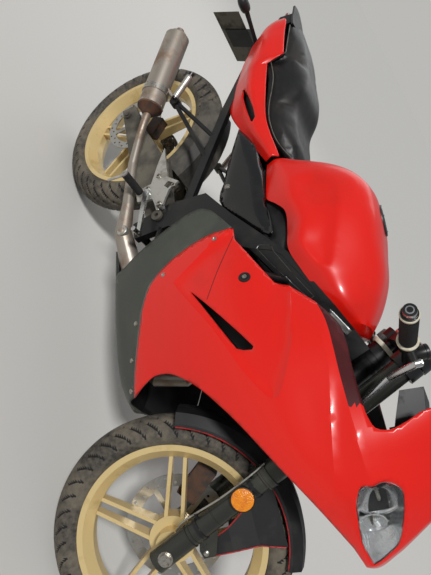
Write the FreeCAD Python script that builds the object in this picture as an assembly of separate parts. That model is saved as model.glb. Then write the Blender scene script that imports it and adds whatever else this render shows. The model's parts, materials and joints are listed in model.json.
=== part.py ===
"""A 50 cc class sport motorcycle with a half fairing and belly pan, parked on its side stand.

Bike frame, in which every piece is drawn: X forward, Y to the rider's left, Z up, upright on level
ground, with the rear tyre's contact point at the origin. Millimetres and degrees throughout.
The parked stance (steering on its left stop, machine leaning on the stand) is applied at the end.
Row frame: +Z up from the floor, X along the machine, origin under the middle of the parked machine.
"""
import FreeCAD
import Part

import functools
import math
import os

V = FreeCAD.Vector

# Driving dimensions
WHEELBASE = 1355.0
RAKE = 24.5                # steering axis from the vertical
TRAIL = 95.0
LEAN = 10.5                # to the left, on the stand
STEER_LOCK = 33.0          # each way from straight ahead; parked on the left stop

RIM_R = 229.0              # outer edge of the 17 inch rim flanges
RIM_FLANGE = 6.0
BEAD_SEAT_R = RIM_R - 13.0
RIM_WELL_R = RIM_R - 26.0
RIM_INNER_R = RIM_R - 34.0
FRONT_TYRE_R = RIM_R + 67.0    # 100/80-17
FRONT_TYRE_HALF = 50.0
REAR_TYRE_R = RIM_R + 78.0     # 130/70-17
REAR_TYRE_HALF = 65.0
FRONT_RIM_HALF = 38.0
REAR_RIM_HALF = 50.0
SPOKE_PAIRS = 5
SPOKE_GAP = 17.0           # from a pair's middle to the middle of each arm
SPOKE_THICK = 9.0
HUB_R = 34.0
TYRE_CROWN_STEPS = 6       # flats across the crown
TYRE_SEAT_GAP = 0.2
AXLE_R = 7.5
AXLE_CLEARANCE = 0.05

FORK_HALF = 98.0           # legs from the middle plane
FORK_LOWER_R = 25.0
FORK_UPPER_R = 28.0
FORK_SPLIT = 292.0         # along the leg from the axle, where the upper tube begins
YOKE_THICK = 24.0
HEAD_TUBE_R = 31.0
HEAD_TUBE = (770.0, 902.0)        # lower and upper end, Z on the steering axis
UNDER_HEAD = 5.4           # bearing gap between the head tube and the lower yoke
OVER_HEAD = 14.5           # and below the upper one
HEAD_RING = 10.0           # height of the bearing collar and of each rib below it
STEM_R = 13.0
RUN_GAP = 0.3              # between faces that only touch

BAR_R = 11.0
GRIP_R = 16.5
GRIP_LONG = 122.0
BAR_END = (942.0, 330.0, 893.0)   # outer end of a grip, straight ahead

PANEL = 4.0                # moulded panel thickness
SEAM = 0.5                 # from each panel's edge to a seam's middle

PIVOT = (511.0, 400.0)     # swingarm pivot, X and Z
PIVOT_R = 24.0
PIVOT_SHAFT_R = 9.0
PIVOT_BORE_R = 6.0         # hollow shaft, for the pin of a workshop stand
PIVOT_HALF = 149.5         # to the shaft's capped ends
ARM_OUT = 114.0            # outer face of the swingarm
ARM_THICK = 24.0

FRONT_DISC_R = 130.0
FRONT_HUB_HALF = 58.0
REAR_DISC_R = 105.0
REAR_HUB_RIGHT = 70.0
REAR_HUB_LEFT = 75.0
DISC_THICK = 4.0
DISC_HOLES = 30
DISC_HOLE_R = 4.0
SPROCKET_R = 85.0
SPROCKET_THICK = 6.0
DRIVE_SPROCKET = (600.0, 400.0, 31.0)   # X, Z, pitch radius
CHAIN_WIDE = 12.0
CHAIN_TALL = 11.0
CHAIN_PITCH = 25.4         # one scallop, which is two links

SILENCER_R = 41.0
STAND_PIVOT = (547.0, 126.0, 268.0)
STAND_FOOT = (640.0, 292.0)       # X and Y of the foot's middle
STAND_R = 11.0
STAND_AXIS = (0.095, 0.852, 0.514)
STAND_BOSS_HALF = 12.5
STAND_BOSS_R = 17.0
STAND_PIN_R = 6.0
STAND_PIN_HEAD_R = 9.5
STAND_FOOT_SIZE = (52.0, 38.0, 8.0)

FRONT_DISC_Y = FRONT_HUB_HALF + DISC_THICK / 2
REAR_DISC_Y = -REAR_HUB_RIGHT - DISC_THICK / 2
SPROCKET_Y = REAR_HUB_LEFT + SPROCKET_THICK / 2
REAR_AXLE = V(0, 0, REAR_TYRE_R)
FRONT_AXLE = V(WHEELBASE, 0, FRONT_TYRE_R)
STEER_AXIS = V(-math.sin(math.radians(RAKE)), 0, math.cos(math.radians(RAKE)))
STEER_FOOT = V(WHEELBASE + TRAIL, 0, 0)
AXLE_UP_AXIS = (FRONT_AXLE - STEER_FOOT).dot(STEER_AXIS)
LOWER_YOKE = HEAD_TUBE[0] / STEER_AXIS.z - UNDER_HEAD - YOKE_THICK / 2 - AXLE_UP_AXIS
UPPER_YOKE = HEAD_TUBE[1] / STEER_AXIS.z + OVER_HEAD + YOKE_THICK / 2 - AXLE_UP_AXIS
FORK_TOP = UPPER_YOKE + YOKE_THICK / 2 + 11.0


def on_steering_axis(z):
    return STEER_FOOT + STEER_AXIS * (z / STEER_AXIS.z)


def on_leg(along, y=0.0):
    """A point of a fork leg's line, measured from the axle."""
    return FRONT_AXLE + STEER_AXIS * along + V(0, y, 0)


# Shape helpers

def wire(points):
    return Part.makePolygon([V(*p) for p in points] + [V(*points[0])])


def prism(outline, y0, y1):
    """A side view outline of (x, z) points, extruded across the machine from y0 to y1."""
    face = Part.Face(wire([(x, y0, z) for x, z in outline]))
    return face.extrude(V(0, y1 - y0, 0))


def loft(sections):
    """A solid with straight edges through closed polygons of 3-D points."""
    return Part.makeLoft([wire(s) for s in sections], True, True)


def rod(p, q, r, r2=None):
    p, q = V(*p), V(*q)
    if r2 is None:
        return Part.makeCylinder(r, (q - p).Length, p, q - p)
    return Part.makeCone(r, r2, (q - p).Length, p, q - p)


def spin(profile, centre, sweep=360.0, start=0.0):
    """Revolves (radius, y) points about a lateral axis; start is measured from +X towards +Z."""
    wire_ = wire([(centre.x + r, centre.y + y, centre.z) for r, y in profile])
    solid = Part.Face(wire_).revolve(centre, V(0, -1, 0), sweep)
    solid.rotate(centre, V(0, -1, 0), start)
    return solid


def box(x, y, z):
    """A box from three (low, high) pairs."""
    return Part.makeBox(x[1] - x[0], y[1] - y[0], z[1] - z[0], V(x[0], y[0], z[0]))


def mirrored(shape):
    return shape.mirror(V(0, 0, 0), V(0, 1, 0))


def pair(right):
    """A right-hand piece and its mirror image on the left, as one node of two solids."""
    return Part.makeCompound([right, mirrored(right)])


def fused(shapes):
    whole = shapes[0].multiFuse(shapes[1:]) if len(shapes) > 1 else shapes[0]
    return whole.removeSplitter()


def between(a, b, c, d):
    """The point half-way from b to c on the smooth curve through a, b, c and d."""
    return tuple((9 * (q + r) - p - s) / 16 for p, q, r, s in zip(a, b, c, d))


def rounded(points):
    """Puts a point between each two, so that the line through them bends in steps half as large."""
    last = len(points) - 1
    result = []
    for i, point in enumerate(points[:-1]):
        result += [point, between(points[max(i - 1, 0)], point, points[i + 1], points[min(i + 2, last)])]
    return result + [points[-1]]


def rounded_sections(sections):
    """The same for a row of closed sections that all have as many points."""
    lines = [rounded(line) for line in zip(*sections)]
    return [list(section) for section in zip(*lines)]


def path_tube(points, radii):
    """Round sections on a bent line, joined by straight-sided lofts."""
    rings = []
    for i, p in enumerate(points):
        before = V(*points[max(i - 1, 0)])
        after = V(*points[min(i + 1, len(points) - 1)])
        circle = Part.Circle(V(*p), after - before, radii[i])
        rings.append(Part.Wire(circle.toShape()))
    return Part.makeLoft(rings, True, True)


# Wheels and tyres

def tyre_profile(tyre_r, half, rim_half):
    """(radius, y) corners: a round crown of flats, sidewalls down to the rim flanges, beads inside them."""
    crown = []
    for i in range(TYRE_CROWN_STEPS + 1):
        a = math.pi * i / TYRE_CROWN_STEPS
        crown.append((tyre_r - half + half * math.sin(a), -half * math.cos(a)))
    lip = RIM_R + TYRE_SEAT_GAP
    bead = rim_half - RIM_FLANGE - TYRE_SEAT_GAP
    seat = BEAD_SEAT_R + TYRE_SEAT_GAP
    return crown + [(lip, rim_half), (lip, bead), (seat, bead), (seat, -bead), (lip, -bead), (lip, -rim_half)]


def tyre(centre, tyre_r, half, rim_half):
    return spin(tyre_profile(tyre_r, half, rim_half), centre)


def rim(centre, rim_half, hub_right, hub_left):
    """Cast wheel: drop-centre rim, hub, and pairs of deep thin arms."""
    seat = rim_half - RIM_FLANGE
    rim_ring = spin([(RIM_R, -rim_half), (RIM_R, -seat), (BEAD_SEAT_R, -seat), (BEAD_SEAT_R, -seat + 14),
                     (RIM_WELL_R, -12.0), (RIM_WELL_R, 12.0), (BEAD_SEAT_R, seat - 14), (BEAD_SEAT_R, seat),
                     (RIM_R, seat), (RIM_R, rim_half), (RIM_R - 14.0, rim_half), (RIM_INNER_R, 14.0),
                     (RIM_INNER_R, -14.0), (RIM_R - 14.0, -rim_half)], centre)
    pieces = [rim_ring, rod(centre + V(0, -hub_right, 0), centre + V(0, hub_left, 0), HUB_R),
              rod(centre + V(0, -22, 0), centre + V(0, 22, 0), 56.0)]
    for pair in range(SPOKE_PAIRS):
        turn = 360.0 * pair / SPOKE_PAIRS + 18.0
        for side in (-1, 1):
            arm = loft([[(r, -deep, side * gap - SPOKE_THICK / 2), (r, deep, side * gap - SPOKE_THICK / 2),
                         (r, deep, side * gap + SPOKE_THICK / 2), (r, -deep, side * gap + SPOKE_THICK / 2)]
                        for r, deep, gap in ((44.0, 20.0, SPOKE_GAP + 3), (RIM_INNER_R + 4.0, 13.0, SPOKE_GAP))])
            arm.rotate(V(0, 0, 0), V(0, -1, 0), turn)
            arm.translate(centre)
            pieces.append(arm)
    bore = rod(centre + V(0, -hub_right - 1, 0), centre + V(0, hub_left + 1, 0), AXLE_R + AXLE_CLEARANCE)
    return fused(pieces).cut(bore)


def brake_disc(centre, y, outer_r, band):
    """Flat annulus on a five-armed carrier that seats on the hub's face."""
    c = V(centre.x, y - DISC_THICK / 2, centre.z)
    across = V(0, 1, 0)
    ring = Part.makeCylinder(outer_r, DISC_THICK, c, across).cut(
        Part.makeCylinder(outer_r - band, DISC_THICK, c, across))
    drill = wire([(DISC_HOLE_R * math.cos(a), 0, DISC_HOLE_R * math.sin(a))
                  for a in (math.radians(60 * k) for k in range(6))])
    for k in range(DISC_HOLES):
        hole = Part.Face(drill).extrude(V(0, DISC_THICK, 0))
        hole.translate(V(outer_r - band * (0.3 if k % 2 else 0.68), 0, 0))
        hole.rotate(V(0, 0, 0), V(0, -1, 0), 360.0 * k / DISC_HOLES)
        hole.translate(c)
        ring = ring.cut(hole)
    carrier = Part.makeCylinder(HUB_R + 8, DISC_THICK, c, across)
    arms = []
    for k in range(SPOKE_PAIRS):
        arm = box((HUB_R, outer_r - band + 4), (0, DISC_THICK), (-7, 7))
        arm.rotate(V(0, 0, 0), V(0, -1, 0), 360.0 * k / SPOKE_PAIRS + 54)
        arm.translate(c)
        arms.append(arm)
    bore = Part.makeCylinder(AXLE_R + 7, DISC_THICK, c, across)
    return fused([ring, carrier] + arms).cut(bore)


def sprocket():
    centre = REAR_AXLE + V(0, REAR_HUB_LEFT, 0)
    plate = Part.makeCylinder(SPROCKET_R - CHAIN_TALL / 2 - 1.0, SPROCKET_THICK, centre, V(0, 1, 0))
    return plate.cut(Part.makeCylinder(AXLE_R + 7, SPROCKET_THICK, centre, V(0, 1, 0)))


def spindle(centre, half, seats, spacers):
    """Axle with nuts that start at the seats, one each side, and spacer tubes given as (y0, y1)."""
    across = V(0, 1, 0)
    pieces = [Part.makeCylinder(AXLE_R, 2 * half, centre - across * half, across)]
    for side in (-1, 1):
        pieces.append(Part.makeCylinder(13.0, 10.0, centre + across * (side * (seats + 5) - 5), across))
    for y0, y1 in spacers:
        pieces.append(Part.makeCylinder(AXLE_R + 5, y1 - y0, centre + across * y0, across))
    return fused(pieces)


# Frame, engine and running gear

# Beam sections from the steering head back to the pivot plate's foot:
# upper edge (x, z), lower edge (x, z), outer face's half width, thickness
BEAM = [((1048, 868), (1072, 800), 46, 24), ((1000, 850), (985, 778), 64, 30),
        ((950, 826), (905, 752), 116, 32), ((786, 752), (735, 655), 150, 32),
        ((607, 625), (672, 560), 150, 30), ((500, 560), (600, 500), 146, 28),
        ((482, 440), (560, 430), 141, 24), ((505, 318), (560, 318), 141, 24)]


POCKET = [(0.12, 0.30, 0.62), (0.30, 0.22, 0.76), (0.92, 0.24, 0.78), (1.0, 0.40, 0.78)]
POCKET_DEEP = 2.5


def beam_pocket():
    """The pressed panel in the beam's outer face: share of the way down the long section, then from its upper
    to its lower edge, where the panel begins and ends."""
    (u0, l0, w0, _), (u1, l1, w1, _) = BEAM[2], BEAM[3]
    rings = []
    for way, first, last in POCKET:
        def across(share):
            upper = [a + (b - a) * way for a, b in zip(u0, u1)]
            lower = [a + (b - a) * way for a, b in zip(l0, l1)]
            return [a + (b - a) * share for a, b in zip(upper, lower)]
        face = w0 + (w1 - w0) * way
        (ax, az), (bx, bz) = across(first), across(last)
        rings.append([(ax, -face - 4, az), (bx, -face - 4, bz), (bx, -face + POCKET_DEEP, bz),
                      (ax, -face + POCKET_DEEP, az)])
    return loft(rings)


def beam():
    """The right-hand beam, from the head to the foot of the pivot plate."""
    whole = loft([[(ux, -w, uz), (lx, -w, lz), (lx, -w + t, lz), (ux, -w + t, uz)]
                  for (ux, uz), (lx, lz), w, t in BEAM])
    return whole.cut(beam_pocket())


RECESS_DEEP = 9.0          # of the fairing's sunk panel, in which the duct mouth opens
# Stays out to the fairing: start inside a beam, end beyond the panel, radius, how deep the panel is set in
STAYS = [((850, -118, 735), (866, -262, 655), 9, RECESS_DEEP), ((545, -128, 402), (668, -200, 410), 8, 0.0)]


def frame():
    head_low, head_high = on_steering_axis(HEAD_TUBE[0]), on_steering_axis(HEAD_TUBE[1])
    head = rod(head_low, head_high, HEAD_TUBE_R)
    rings = [rod(head_high - STEER_AXIS * (down + HEAD_RING), head_high - STEER_AXIS * down, HEAD_TUBE_R + out)
             for down, out in ((0, 5), (26, 2), (42, 2), (58, 2))]
    head_box = loft([[(x, -w, z0), (x, w, z0), (x, w, z1), (x, -w, z1)]
                     for x, w, z0, z1 in ((985, 60, 790, 845), (1056, 30, 805, 862))])
    tubes = [rod((590, -130, 585), (590, 130, 585), 18), rod((530, -125, 323), (530, 125, 323), 12),
             rod((ENGINE_HANGER[0], -128, ENGINE_HANGER[1]), (ENGINE_HANGER[0], 128, ENGINE_HANGER[1]), 14)]
    axis = V(*STAND_AXIS).normalize()
    pivot = V(*STAND_PIVOT)
    face = pivot - axis * (STAND_BOSS_HALF + RUN_GAP)
    lug = [rod(face - axis * 24, face, 15), rod((530, 66, 323), face - axis * 14, 11),
           rod(face, pivot + axis * (STAND_BOSS_HALF + 2 * RUN_GAP), STAND_PIN_R),
           rod(pivot + axis * (STAND_BOSS_HALF + 2 * RUN_GAP), pivot + axis * (STAND_BOSS_HALF + 5),
               STAND_PIN_HEAD_R)]
    stem_hole = rod(head_low - STEER_AXIS * 5, head_high + STEER_AXIS * 5, STEM_R + RUN_GAP)
    pivot_hole = rod((PIVOT[0], -200, PIVOT[1]), (PIVOT[0], 200, PIVOT[1]), PIVOT_SHAFT_R)
    stays = [rod(start, end, r).common(form(deep + PANEL + RUN_GAP)) for start, end, r, deep in STAYS]
    stays += [mirrored(stay) for stay in stays]
    whole = fused([beam(), mirrored(beam()), head, head_box] + rings + lug + tubes + stays)
    return whole.cut(stem_hole).cut(pivot_hole)


def swingarm():
    """Two deep arms, a cross tube ahead of the tyre, and the pivot sleeve with its shaft."""
    arm_in = ARM_OUT - ARM_THICK
    px, pz = PIVOT
    az = REAR_AXLE.z
    outline = [(-38, az - 23), (-40, az + 27), (84, az + 55), (px - 211, pz + 40), (px - 71, pz + 36),
               (px + 19, pz + 24), (px + 27, pz - 22), (px - 11, pz - 48), (px - 181, pz - 82), (180, az - 7)]
    arm = prism(outline, -ARM_OUT, -arm_in)
    cross = box((px - 116, px - 43), (-arm_in - 2, arm_in + 2), (pz - 58, pz - 6))
    sleeve = rod((px, -arm_in, pz), (px, SPROCKET_Y - CHAIN_WIDE, pz), PIVOT_R)
    lane = rod((px, -arm_in - 2, pz), (px, arm_in + 2, pz), 12)
    link = box((px - 71, px), (-60, SPROCKET_Y - CHAIN_WIDE), (pz - 22, pz + 12))
    shaft = rod((px, -PIVOT_HALF, pz), (px, PIVOT_HALF, pz), PIVOT_SHAFT_R)
    caps = [rod((px, s * (PIVOT_HALF - 8), pz), (px, s * PIVOT_HALF, pz), 17.0) for s in (-1, 1)]
    bore = rod((px, -PIVOT_HALF - 1, pz), (px, PIVOT_HALF + 1, pz), PIVOT_BORE_R)
    axle = spindle(REAR_AXLE, ARM_OUT + 14, ARM_OUT - 1,
                   [(-arm_in - 1, -REAR_HUB_RIGHT - DISC_THICK - RUN_GAP),
                    (REAR_HUB_LEFT + SPROCKET_THICK + RUN_GAP, arm_in + 1)])
    return fused([arm, mirrored(arm), cross, sleeve, lane, link, shaft] + caps + [axle]).cut(bore)


def subframe(neighbours):
    """Rear rails: a low pair from the pivot plates and an upper pair from the beams, joined at the tail."""
    low = loft([[(x, -y - 10, z - 15), (x, -y + 10, z - 15), (x, -y + 10, z + 15), (x, -y - 10, z + 15)]
                for x, y, z in ((496, 122, 490), (167, 104, 655), (-60, 72, 770))])
    high = rod((600, -124, 672), (-60, -74, 812), 11)
    ties = [box((-60, -36), (-80, 80), (752, 812)), rod((262, -98, 742), (262, 98, 742), 9)]
    return largest(fused([low, mirrored(low), high, mirrored(high)] + ties).cut(neighbours))


ENGINE_HANGER = (690.0, 590.0)     # cross tube that carries the engine's upper lug, X and Z


def engine():
    """Crankcase, forward-leaning cylinder and the two side covers as one plain mass."""
    right = prism([(585, 330), (600, 470), (700, 500), (830, 430), (856, 340), (800, 317), (640, 317)],
                  -92, SPROCKET_Y - CHAIN_WIDE)
    left = prism([(646, 317), (646, 484), (700, 500), (830, 430), (856, 340), (800, 317)], 60, 92)
    cylinder = prism([(705, 480), (800, 425), (905, 590), (800, 650)], -58, 58)
    covers = [rod((660, -118, 392), (660, 0, 392), 60), rod((712, 0, 392), (712, 110, 392), 62)]
    shaft = rod((DRIVE_SPROCKET[0], 0, DRIVE_SPROCKET[1]), (DRIVE_SPROCKET[0], 92, DRIVE_SPROCKET[1]), 10)
    tooth_disc = rod((DRIVE_SPROCKET[0], SPROCKET_Y - 3, DRIVE_SPROCKET[1]),
                     (DRIVE_SPROCKET[0], SPROCKET_Y + 3, DRIVE_SPROCKET[1]),
                     DRIVE_SPROCKET[2] - CHAIN_TALL / 2 - 1.0)
    mount = prism([(672, 470), (718, 480), (708, ENGINE_HANGER[1] + 4), (674, ENGINE_HANGER[1] + 4)], -30, 30)
    whole = fused([right, left, cylinder, shaft, tooth_disc, mount] + covers)
    hx, hz = ENGINE_HANGER
    return whole.cut(rod((hx, -60, hz), (hx, 60, hz), 14))


def radiator(neighbours):
    """Core between its side tanks, hung from two ears under the beams."""
    core = prism([(935, 500), (968, 505), (1000, 700), (967, 705)], -120, 120)
    tanks = [prism([(930, 515), (972, 520), (1000, 690), (962, 692)], s * 120, s * 142) for s in (-1, 1)]
    ears = [rod((980, s * 66, 692), (958, s * 72, 786), 7) for s in (-1, 1)]
    return largest(fused([core] + tanks + ears).cut(neighbours))


# Right-hand exhaust: centre line points and radii after the header, round and under to the silencer
CHAMBER = [((940, -8, 462), 20), ((976, -20, 385), 24), ((958, -40, 316), 31), ((890, -58, 277), 36),
           ((740, -72, 273), 38), ((640, -80, 276), 34), ((520, -138, 280), 26), ((440, -154, 310), 18),
           ((300, -172, 344), 14), ((205, -184, 382), 12)]
PORT = V(860.5, 0, 520)            # on the cylinder's front face
PORT_OUT = V(0.844, 0, -0.536)
SILENCER_FRONT = V(118, -196, 430)
SILENCER_REAR = V(-136, -212, 562)
SILENCER_INLET = 22.0
STRAP_AT = 52.0            # along the can from its front
STRAP_WIDE = 22.0
PEG_BOSS = (114, -172, 512)        # middle of the boss that carries the passenger's peg


def exhaust_chamber():
    along = (SILENCER_REAR - SILENCER_FRONT).normalize()
    joint = SILENCER_FRONT - along * SILENCER_INLET
    start = [(tuple(PORT), 19), (tuple(PORT + PORT_OUT * 36), 19)]
    end = [(tuple(joint - along * 34), 12), (tuple(joint), 13)]
    return path_tube([p for p, _ in start + CHAMBER + end], [r for _, r in start + CHAMBER + end])


def silencer(neighbours):
    """Can with its end cap and outlet, hung by its strap from the passenger's footrest bracket."""
    along = (SILENCER_REAR - SILENCER_FRONT).normalize()
    body = Part.makeCylinder(SILENCER_R, (SILENCER_REAR - SILENCER_FRONT).Length, SILENCER_FRONT, along)
    inlet = Part.makeCone(18, SILENCER_R - 3, SILENCER_INLET, SILENCER_FRONT - along * SILENCER_INLET, along)
    end_cap = Part.makeCone(SILENCER_R - 2, SILENCER_R - 12, 14, SILENCER_REAR, along)
    outlet = Part.makeCylinder(13, 34, SILENCER_REAR, along)
    strap = Part.makeCylinder(SILENCER_R + 2, STRAP_WIDE, SILENCER_FRONT + along * STRAP_AT, along)
    hang_from = SILENCER_FRONT + along * (STRAP_AT + STRAP_WIDE / 2) + V(0, 6, SILENCER_R - 2)
    hanger = rod(hang_from, V(*PEG_BOSS) + V(-8, 0, 0), 6)
    hole = Part.makeCylinder(9, 40, SILENCER_REAR + along * 4, along)
    return fused([body, inlet, end_cap, outlet, strap, hanger]).cut(hole).cut(neighbours)


# Fairing form: level z, then (x, half width) at the tail, flank, shoulder, head, cheek and tip
FORM = [
    (213, (556, 62), (800, 78), (940, 72), (990, 50), (1012, 28), (1024, 8)),
    (240, (556, 116), (800, 130), (960, 118), (1016, 86), (1030, 50), (1036, 14)),
    (306, (556, 150), (800, 176), (1000, 168), (1100, 138), (1160, 85), (1196, 28)),
    (400, (556, 168), (800, 206), (1000, 206), (1140, 166), (1215, 105), (1262, 34)),
    (500, (560, 178), (820, 228), (1020, 236), (1190, 190), (1282, 120), (1334, 40)),
    (600, (570, 182), (840, 238), (1050, 247), (1230, 208), (1340, 134), (1398, 44)),
    (680, (600, 180), (850, 226), (1070, 243), (1262, 206), (1380, 134), (1440, 44)),
    (750, (660, 166), (880, 196), (1080, 228), (1290, 190), (1402, 122), (1478, 38)),
    (811, (700, 150), (920, 178), (1090, 210), (1282, 190), (1396, 112), (1458, 32)),
    (840, (730, 142), (940, 158), (1090, 187), (1266, 178), (1384, 106), (1442, 29)),
    (870, (760, 136), (960, 150), (1110, 176), (1260, 164), (1364, 98), (1424, 26)),
    (954, (860, 126), (1020, 146), (1130, 160), (1240, 142), (1318, 86), (1372, 20)),
    (1010, (900, 120), (1040, 136), (1130, 146), (1212, 126), (1278, 76), (1322, 17)),
]
# Side view outlines, (x, z)
SEAM_LINE = [(700, 640), (700, 575), (712, 515), (736, 455), (775, 396), (832, 366), (900, 348),
             (980, 325), (1052, 302)]
WHEEL_EDGE = [(1040, 340), (1030, 380), (1039, 421), (1080, 482), (1165, 557), (1296, 643), (1401, 706),
              (1452, 732)]
TOP_EDGE = [(1238, 968), (1244, 940), (1256, 905), (1266, 870), (1250, 843), (1203, 838), (1061, 838),
            (1010, 822), (968, 796), (892, 720), (800, 672), (735, 640)]
SCOOP = [(862, 513), (1048, 650), (1057, 642), (1048, 614), (1028, 600)]
RECESS = [(880, 758), (913, 750), (983, 744), (1059, 733), (1123, 708), (1161, 688), (1172, 669), (1143, 644),
          (1094, 615), (1040, 592), (962, 553), (893, 515), (856, 492), (816, 470), (690, 640), (690, 700)]
BELLY_REAR = [(640, 606), (580, 560), (592, 480), (622, 396), (652, 320), (664, 246), (558, 238), (558, 205)]


@functools.lru_cache(maxsize=None)
def form(inset):
    """The whole fairing's outer form, or its inner face when inset, open behind and above."""
    sections = []
    for level, (z, *points) in enumerate(FORM):
        z += inset if level == 0 else 0
        z += 12 if inset and level == len(FORM) - 1 else 0
        half = []
        for k, (x, w) in enumerate(points):
            x -= inset if k == len(points) - 1 else 0
            x -= 30 if inset and k == 0 else 0
            half.append((x, max(w - inset, 2.0), z))
        sections.append(rounded([(x, -w, z) for x, w, z in half] + [(x, w, z) for x, w, z in reversed(half)]))
    return loft(sections)


def sunk_panel():
    """The panel inside the recess outline, set in from the form, with a wall of its own thickness round it."""
    mouth = prism(RECESS, -400, 0)
    edge = Part.Face(wire([(x, -400, z) for x, z in RECESS])).makeOffset2D(PANEL, 2)
    outside = edge.extrude(V(0, 400, 0))
    back = form(RECESS_DEEP + PANEL)
    floor = form(RECESS_DEEP).cut(back).common(mouth)
    wall = form(0.0).cut(back).common(outside.cut(mouth))
    return mouth, floor.fuse(wall)


def fairing_panels():
    """Right-hand upper panel and the belly pan, cut from the one shell along the seam."""
    shell = form(0.0).cut(form(PANEL))
    right = box((400, 1600), (-400, -SEAM), (150, 1100))
    mouth, sunk = sunk_panel()
    upper_outline = SEAM_LINE + WHEEL_EDGE + [(1600, 740), (1600, 880), (1400, 915), (1310, 960)] + TOP_EDGE
    belly_outline = ([(x - 1.5, z - 1.5) for x, z in SEAM_LINE] + [(1052, 290), (1030, 215), (1028, 200)]
                     + BELLY_REAR[::-1])
    upper = shell.common(right).cut(mouth).fuse(sunk).common(prism(upper_outline, -400, 0))
    upper = upper.cut(prism(SCOOP, -400, -100))
    upper = upper.cut(lamp_prism(0.0))
    belly = shell.common(box((400, 1600), (-400, 400), (150, 1100))).common(prism(belly_outline, -400, 400))
    return upper, belly


# Headlamp opening in the front view, (y, z) of its corners on the right
LAMP = [(-26, 757), (-74, 752), (-138, 771), (-150, 785), (-132, 836), (-100, 858), (-60, 838), (-30, 815)]
LAMP_DEEP = 36.0


def lamp_prism(inset):
    middle_y = sum(y for y, _ in LAMP) / len(LAMP)
    middle_z = sum(z for _, z in LAMP) / len(LAMP)
    corners = []
    for y, z in LAMP:
        far = math.hypot(y - middle_y, z - middle_z)
        corners.append((1290, y + (middle_y - y) * inset / far, z + (middle_z - z) * inset / far))
    return Part.Face(wire(corners)).extrude(V(260, 0, 0))


def headlamp():
    """Twin unit: a lens and bowl behind each opening, joined by the housing behind the nose."""
    bowl = form(1.5).common(lamp_prism(SEAM)).cut(form(LAMP_DEEP))
    housing = loft([[(x, -w, z0), (x, w, z0), (x, w, z1), (x, -w, z1)]
                    for x, w, z0, z1 in ((1296, 70, 775, 830), (1350, 96, 765, 845))])
    bridge = box((1340, 1395), (-60, 60), (775, 822))
    return fused([bowl, mirrored(bowl), housing, bridge])


def dash(neighbours):
    """Instrument pod on a stay that stands on the headlamp's housing."""
    pod = loft([[(x, -w, z), (x, w, z), (x, w * 0.8, z + h), (x, -w * 0.8, z + h)]
                for x, w, z, h in ((1170, 78, 905, 50), (1225, 70, 880, 62), (1262, 50, 862, 50))])
    stay = prism([(1225, 880), (1225, 858), (1290, 858), (1300, 820), (1336, 820), (1336, 880)], -14, 14)
    return largest(fused([pod, stay]).cut(neighbours))


# Tank sections: x, then half width and height at the skirt, knee and shoulder, then the crown's height
TANK = [
    (452, (108, 742), (118, 772), (96, 806), 812),
    (525, (128, 734), (140, 800), (104, 905), 924),
    (606, (138, 726), (160, 812), (120, 950), 985),
    (700, (140, 752), (172, 826), (124, 946), 988),
    (786, (150, 756), (168, 812), (114, 930), 970),
    (872, (130, 796), (137, 842), (88, 916), 948),
    (945, (96, 832), (102, 852), (64, 892), 910),
    (985, (50, 856), (54, 864), (34, 876), 882),
]


def fuel_tank():
    sections = []
    for x, skirt, knee, shoulder, crown in TANK:
        right = [skirt, knee, shoulder, (shoulder[0] * 0.45, crown)]
        sections.append(rounded([(x, -y, z) for y, z in right] + [(x, y, z) for y, z in reversed(right)]))
    body = loft(rounded_sections(sections))
    notch = prism([(600, 700), (606, 764), (645, 779), (700, 740)], -220, 220)
    cap = Part.makeCylinder(34, 14, V(690, 0, 984), V(-0.02, 0, 1)).cut(
        Part.makeCylinder(27, 3, V(690, 0, 996), V(-0.02, 0, 1)))
    # Underside is cut to the beams' upper edges
    under = prism([(700, 690), (786, 753), (1050, 876), (1050, 690)], -220, 220)
    return fused([body.cut(notch).cut(under), cap])


# Seat sections: x, base half width and height, edge half width and height, crown's height
SEAT = [
    (452, (62, 813), (56, 824), 834), (400, (104, 783), (98, 816), 838), (318, (130, 774), (124, 812), 845),
    (240, (134, 784), (118, 836), 864), (190, (134, 796), (108, 868), 900), (140, (132, 809), (104, 886), 917),
    (72, (129, 821), (103, 892), 929),
]
PILLION = [(72, (124, 881), (103, 892), 929), (-40, (112, 898), (92, 922), 944), (-122, (95, 911), (78, 930), 950)]


def seat_part(table):
    return loft(rounded_sections(
        [[(x, -by, bz), (x, -ey, ez)] + rounded([(x, -ey * 0.8, top - 3), (x, -ey * 0.3, top), (x, ey * 0.3, top),
                                                 (x, ey * 0.8, top - 3)]) + [(x, ey, ez), (x, by, bz)]
         for x, (by, bz), (ey, ez), top in table]))


def seat():
    return fused([seat_part(SEAT), seat_part(PILLION)])


# Tail cowl sections: x, then half width and height at the lower edge, the flank and the upper edge
TAIL = [
    (446, (118, 746), (130, 765), (118, 786)), (300, (120, 678), (148, 725), (134, 772)),
    (177, (112, 667), (152, 735), (138, 796)), (74, (105, 698), (147, 770), (134, 818)),
    (56, (103, 704), (145, 780), (130, 878)), (-60, (88, 754), (126, 832), (116, 898)),
    (-142, (68, 806), (102, 852), (98, 912)), (-172, (46, 846), (84, 868), (82, 906)),
]


def tail_cowl():
    """Both flanks and the closed rear end, open above and below."""
    def section(x, low, flank, high, inset, spill):
        pts = [(low[0] - inset, low[1] - spill), (flank[0] - inset, flank[1]), (high[0] - inset, high[1] + spill)]
        return [(x, -y, z) for y, z in pts] + [(x, y, z) for y, z in reversed(pts)]
    outer = loft([section(x, low, flank, high, 0, 0) for x, low, flank, high in TAIL])
    inner = loft([section(x + (PANEL if i == len(TAIL) - 1 else 0) + (20 if i == 0 else 0),
                          low, flank, high, PANEL, 12)
                  for i, (x, low, flank, high) in enumerate(TAIL)])
    vent = prism([(150, 715), (215, 735), (308, 742), (312, 724), (240, 712)], -220, 220)
    return outer.cut(inner).cut(vent)


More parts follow.
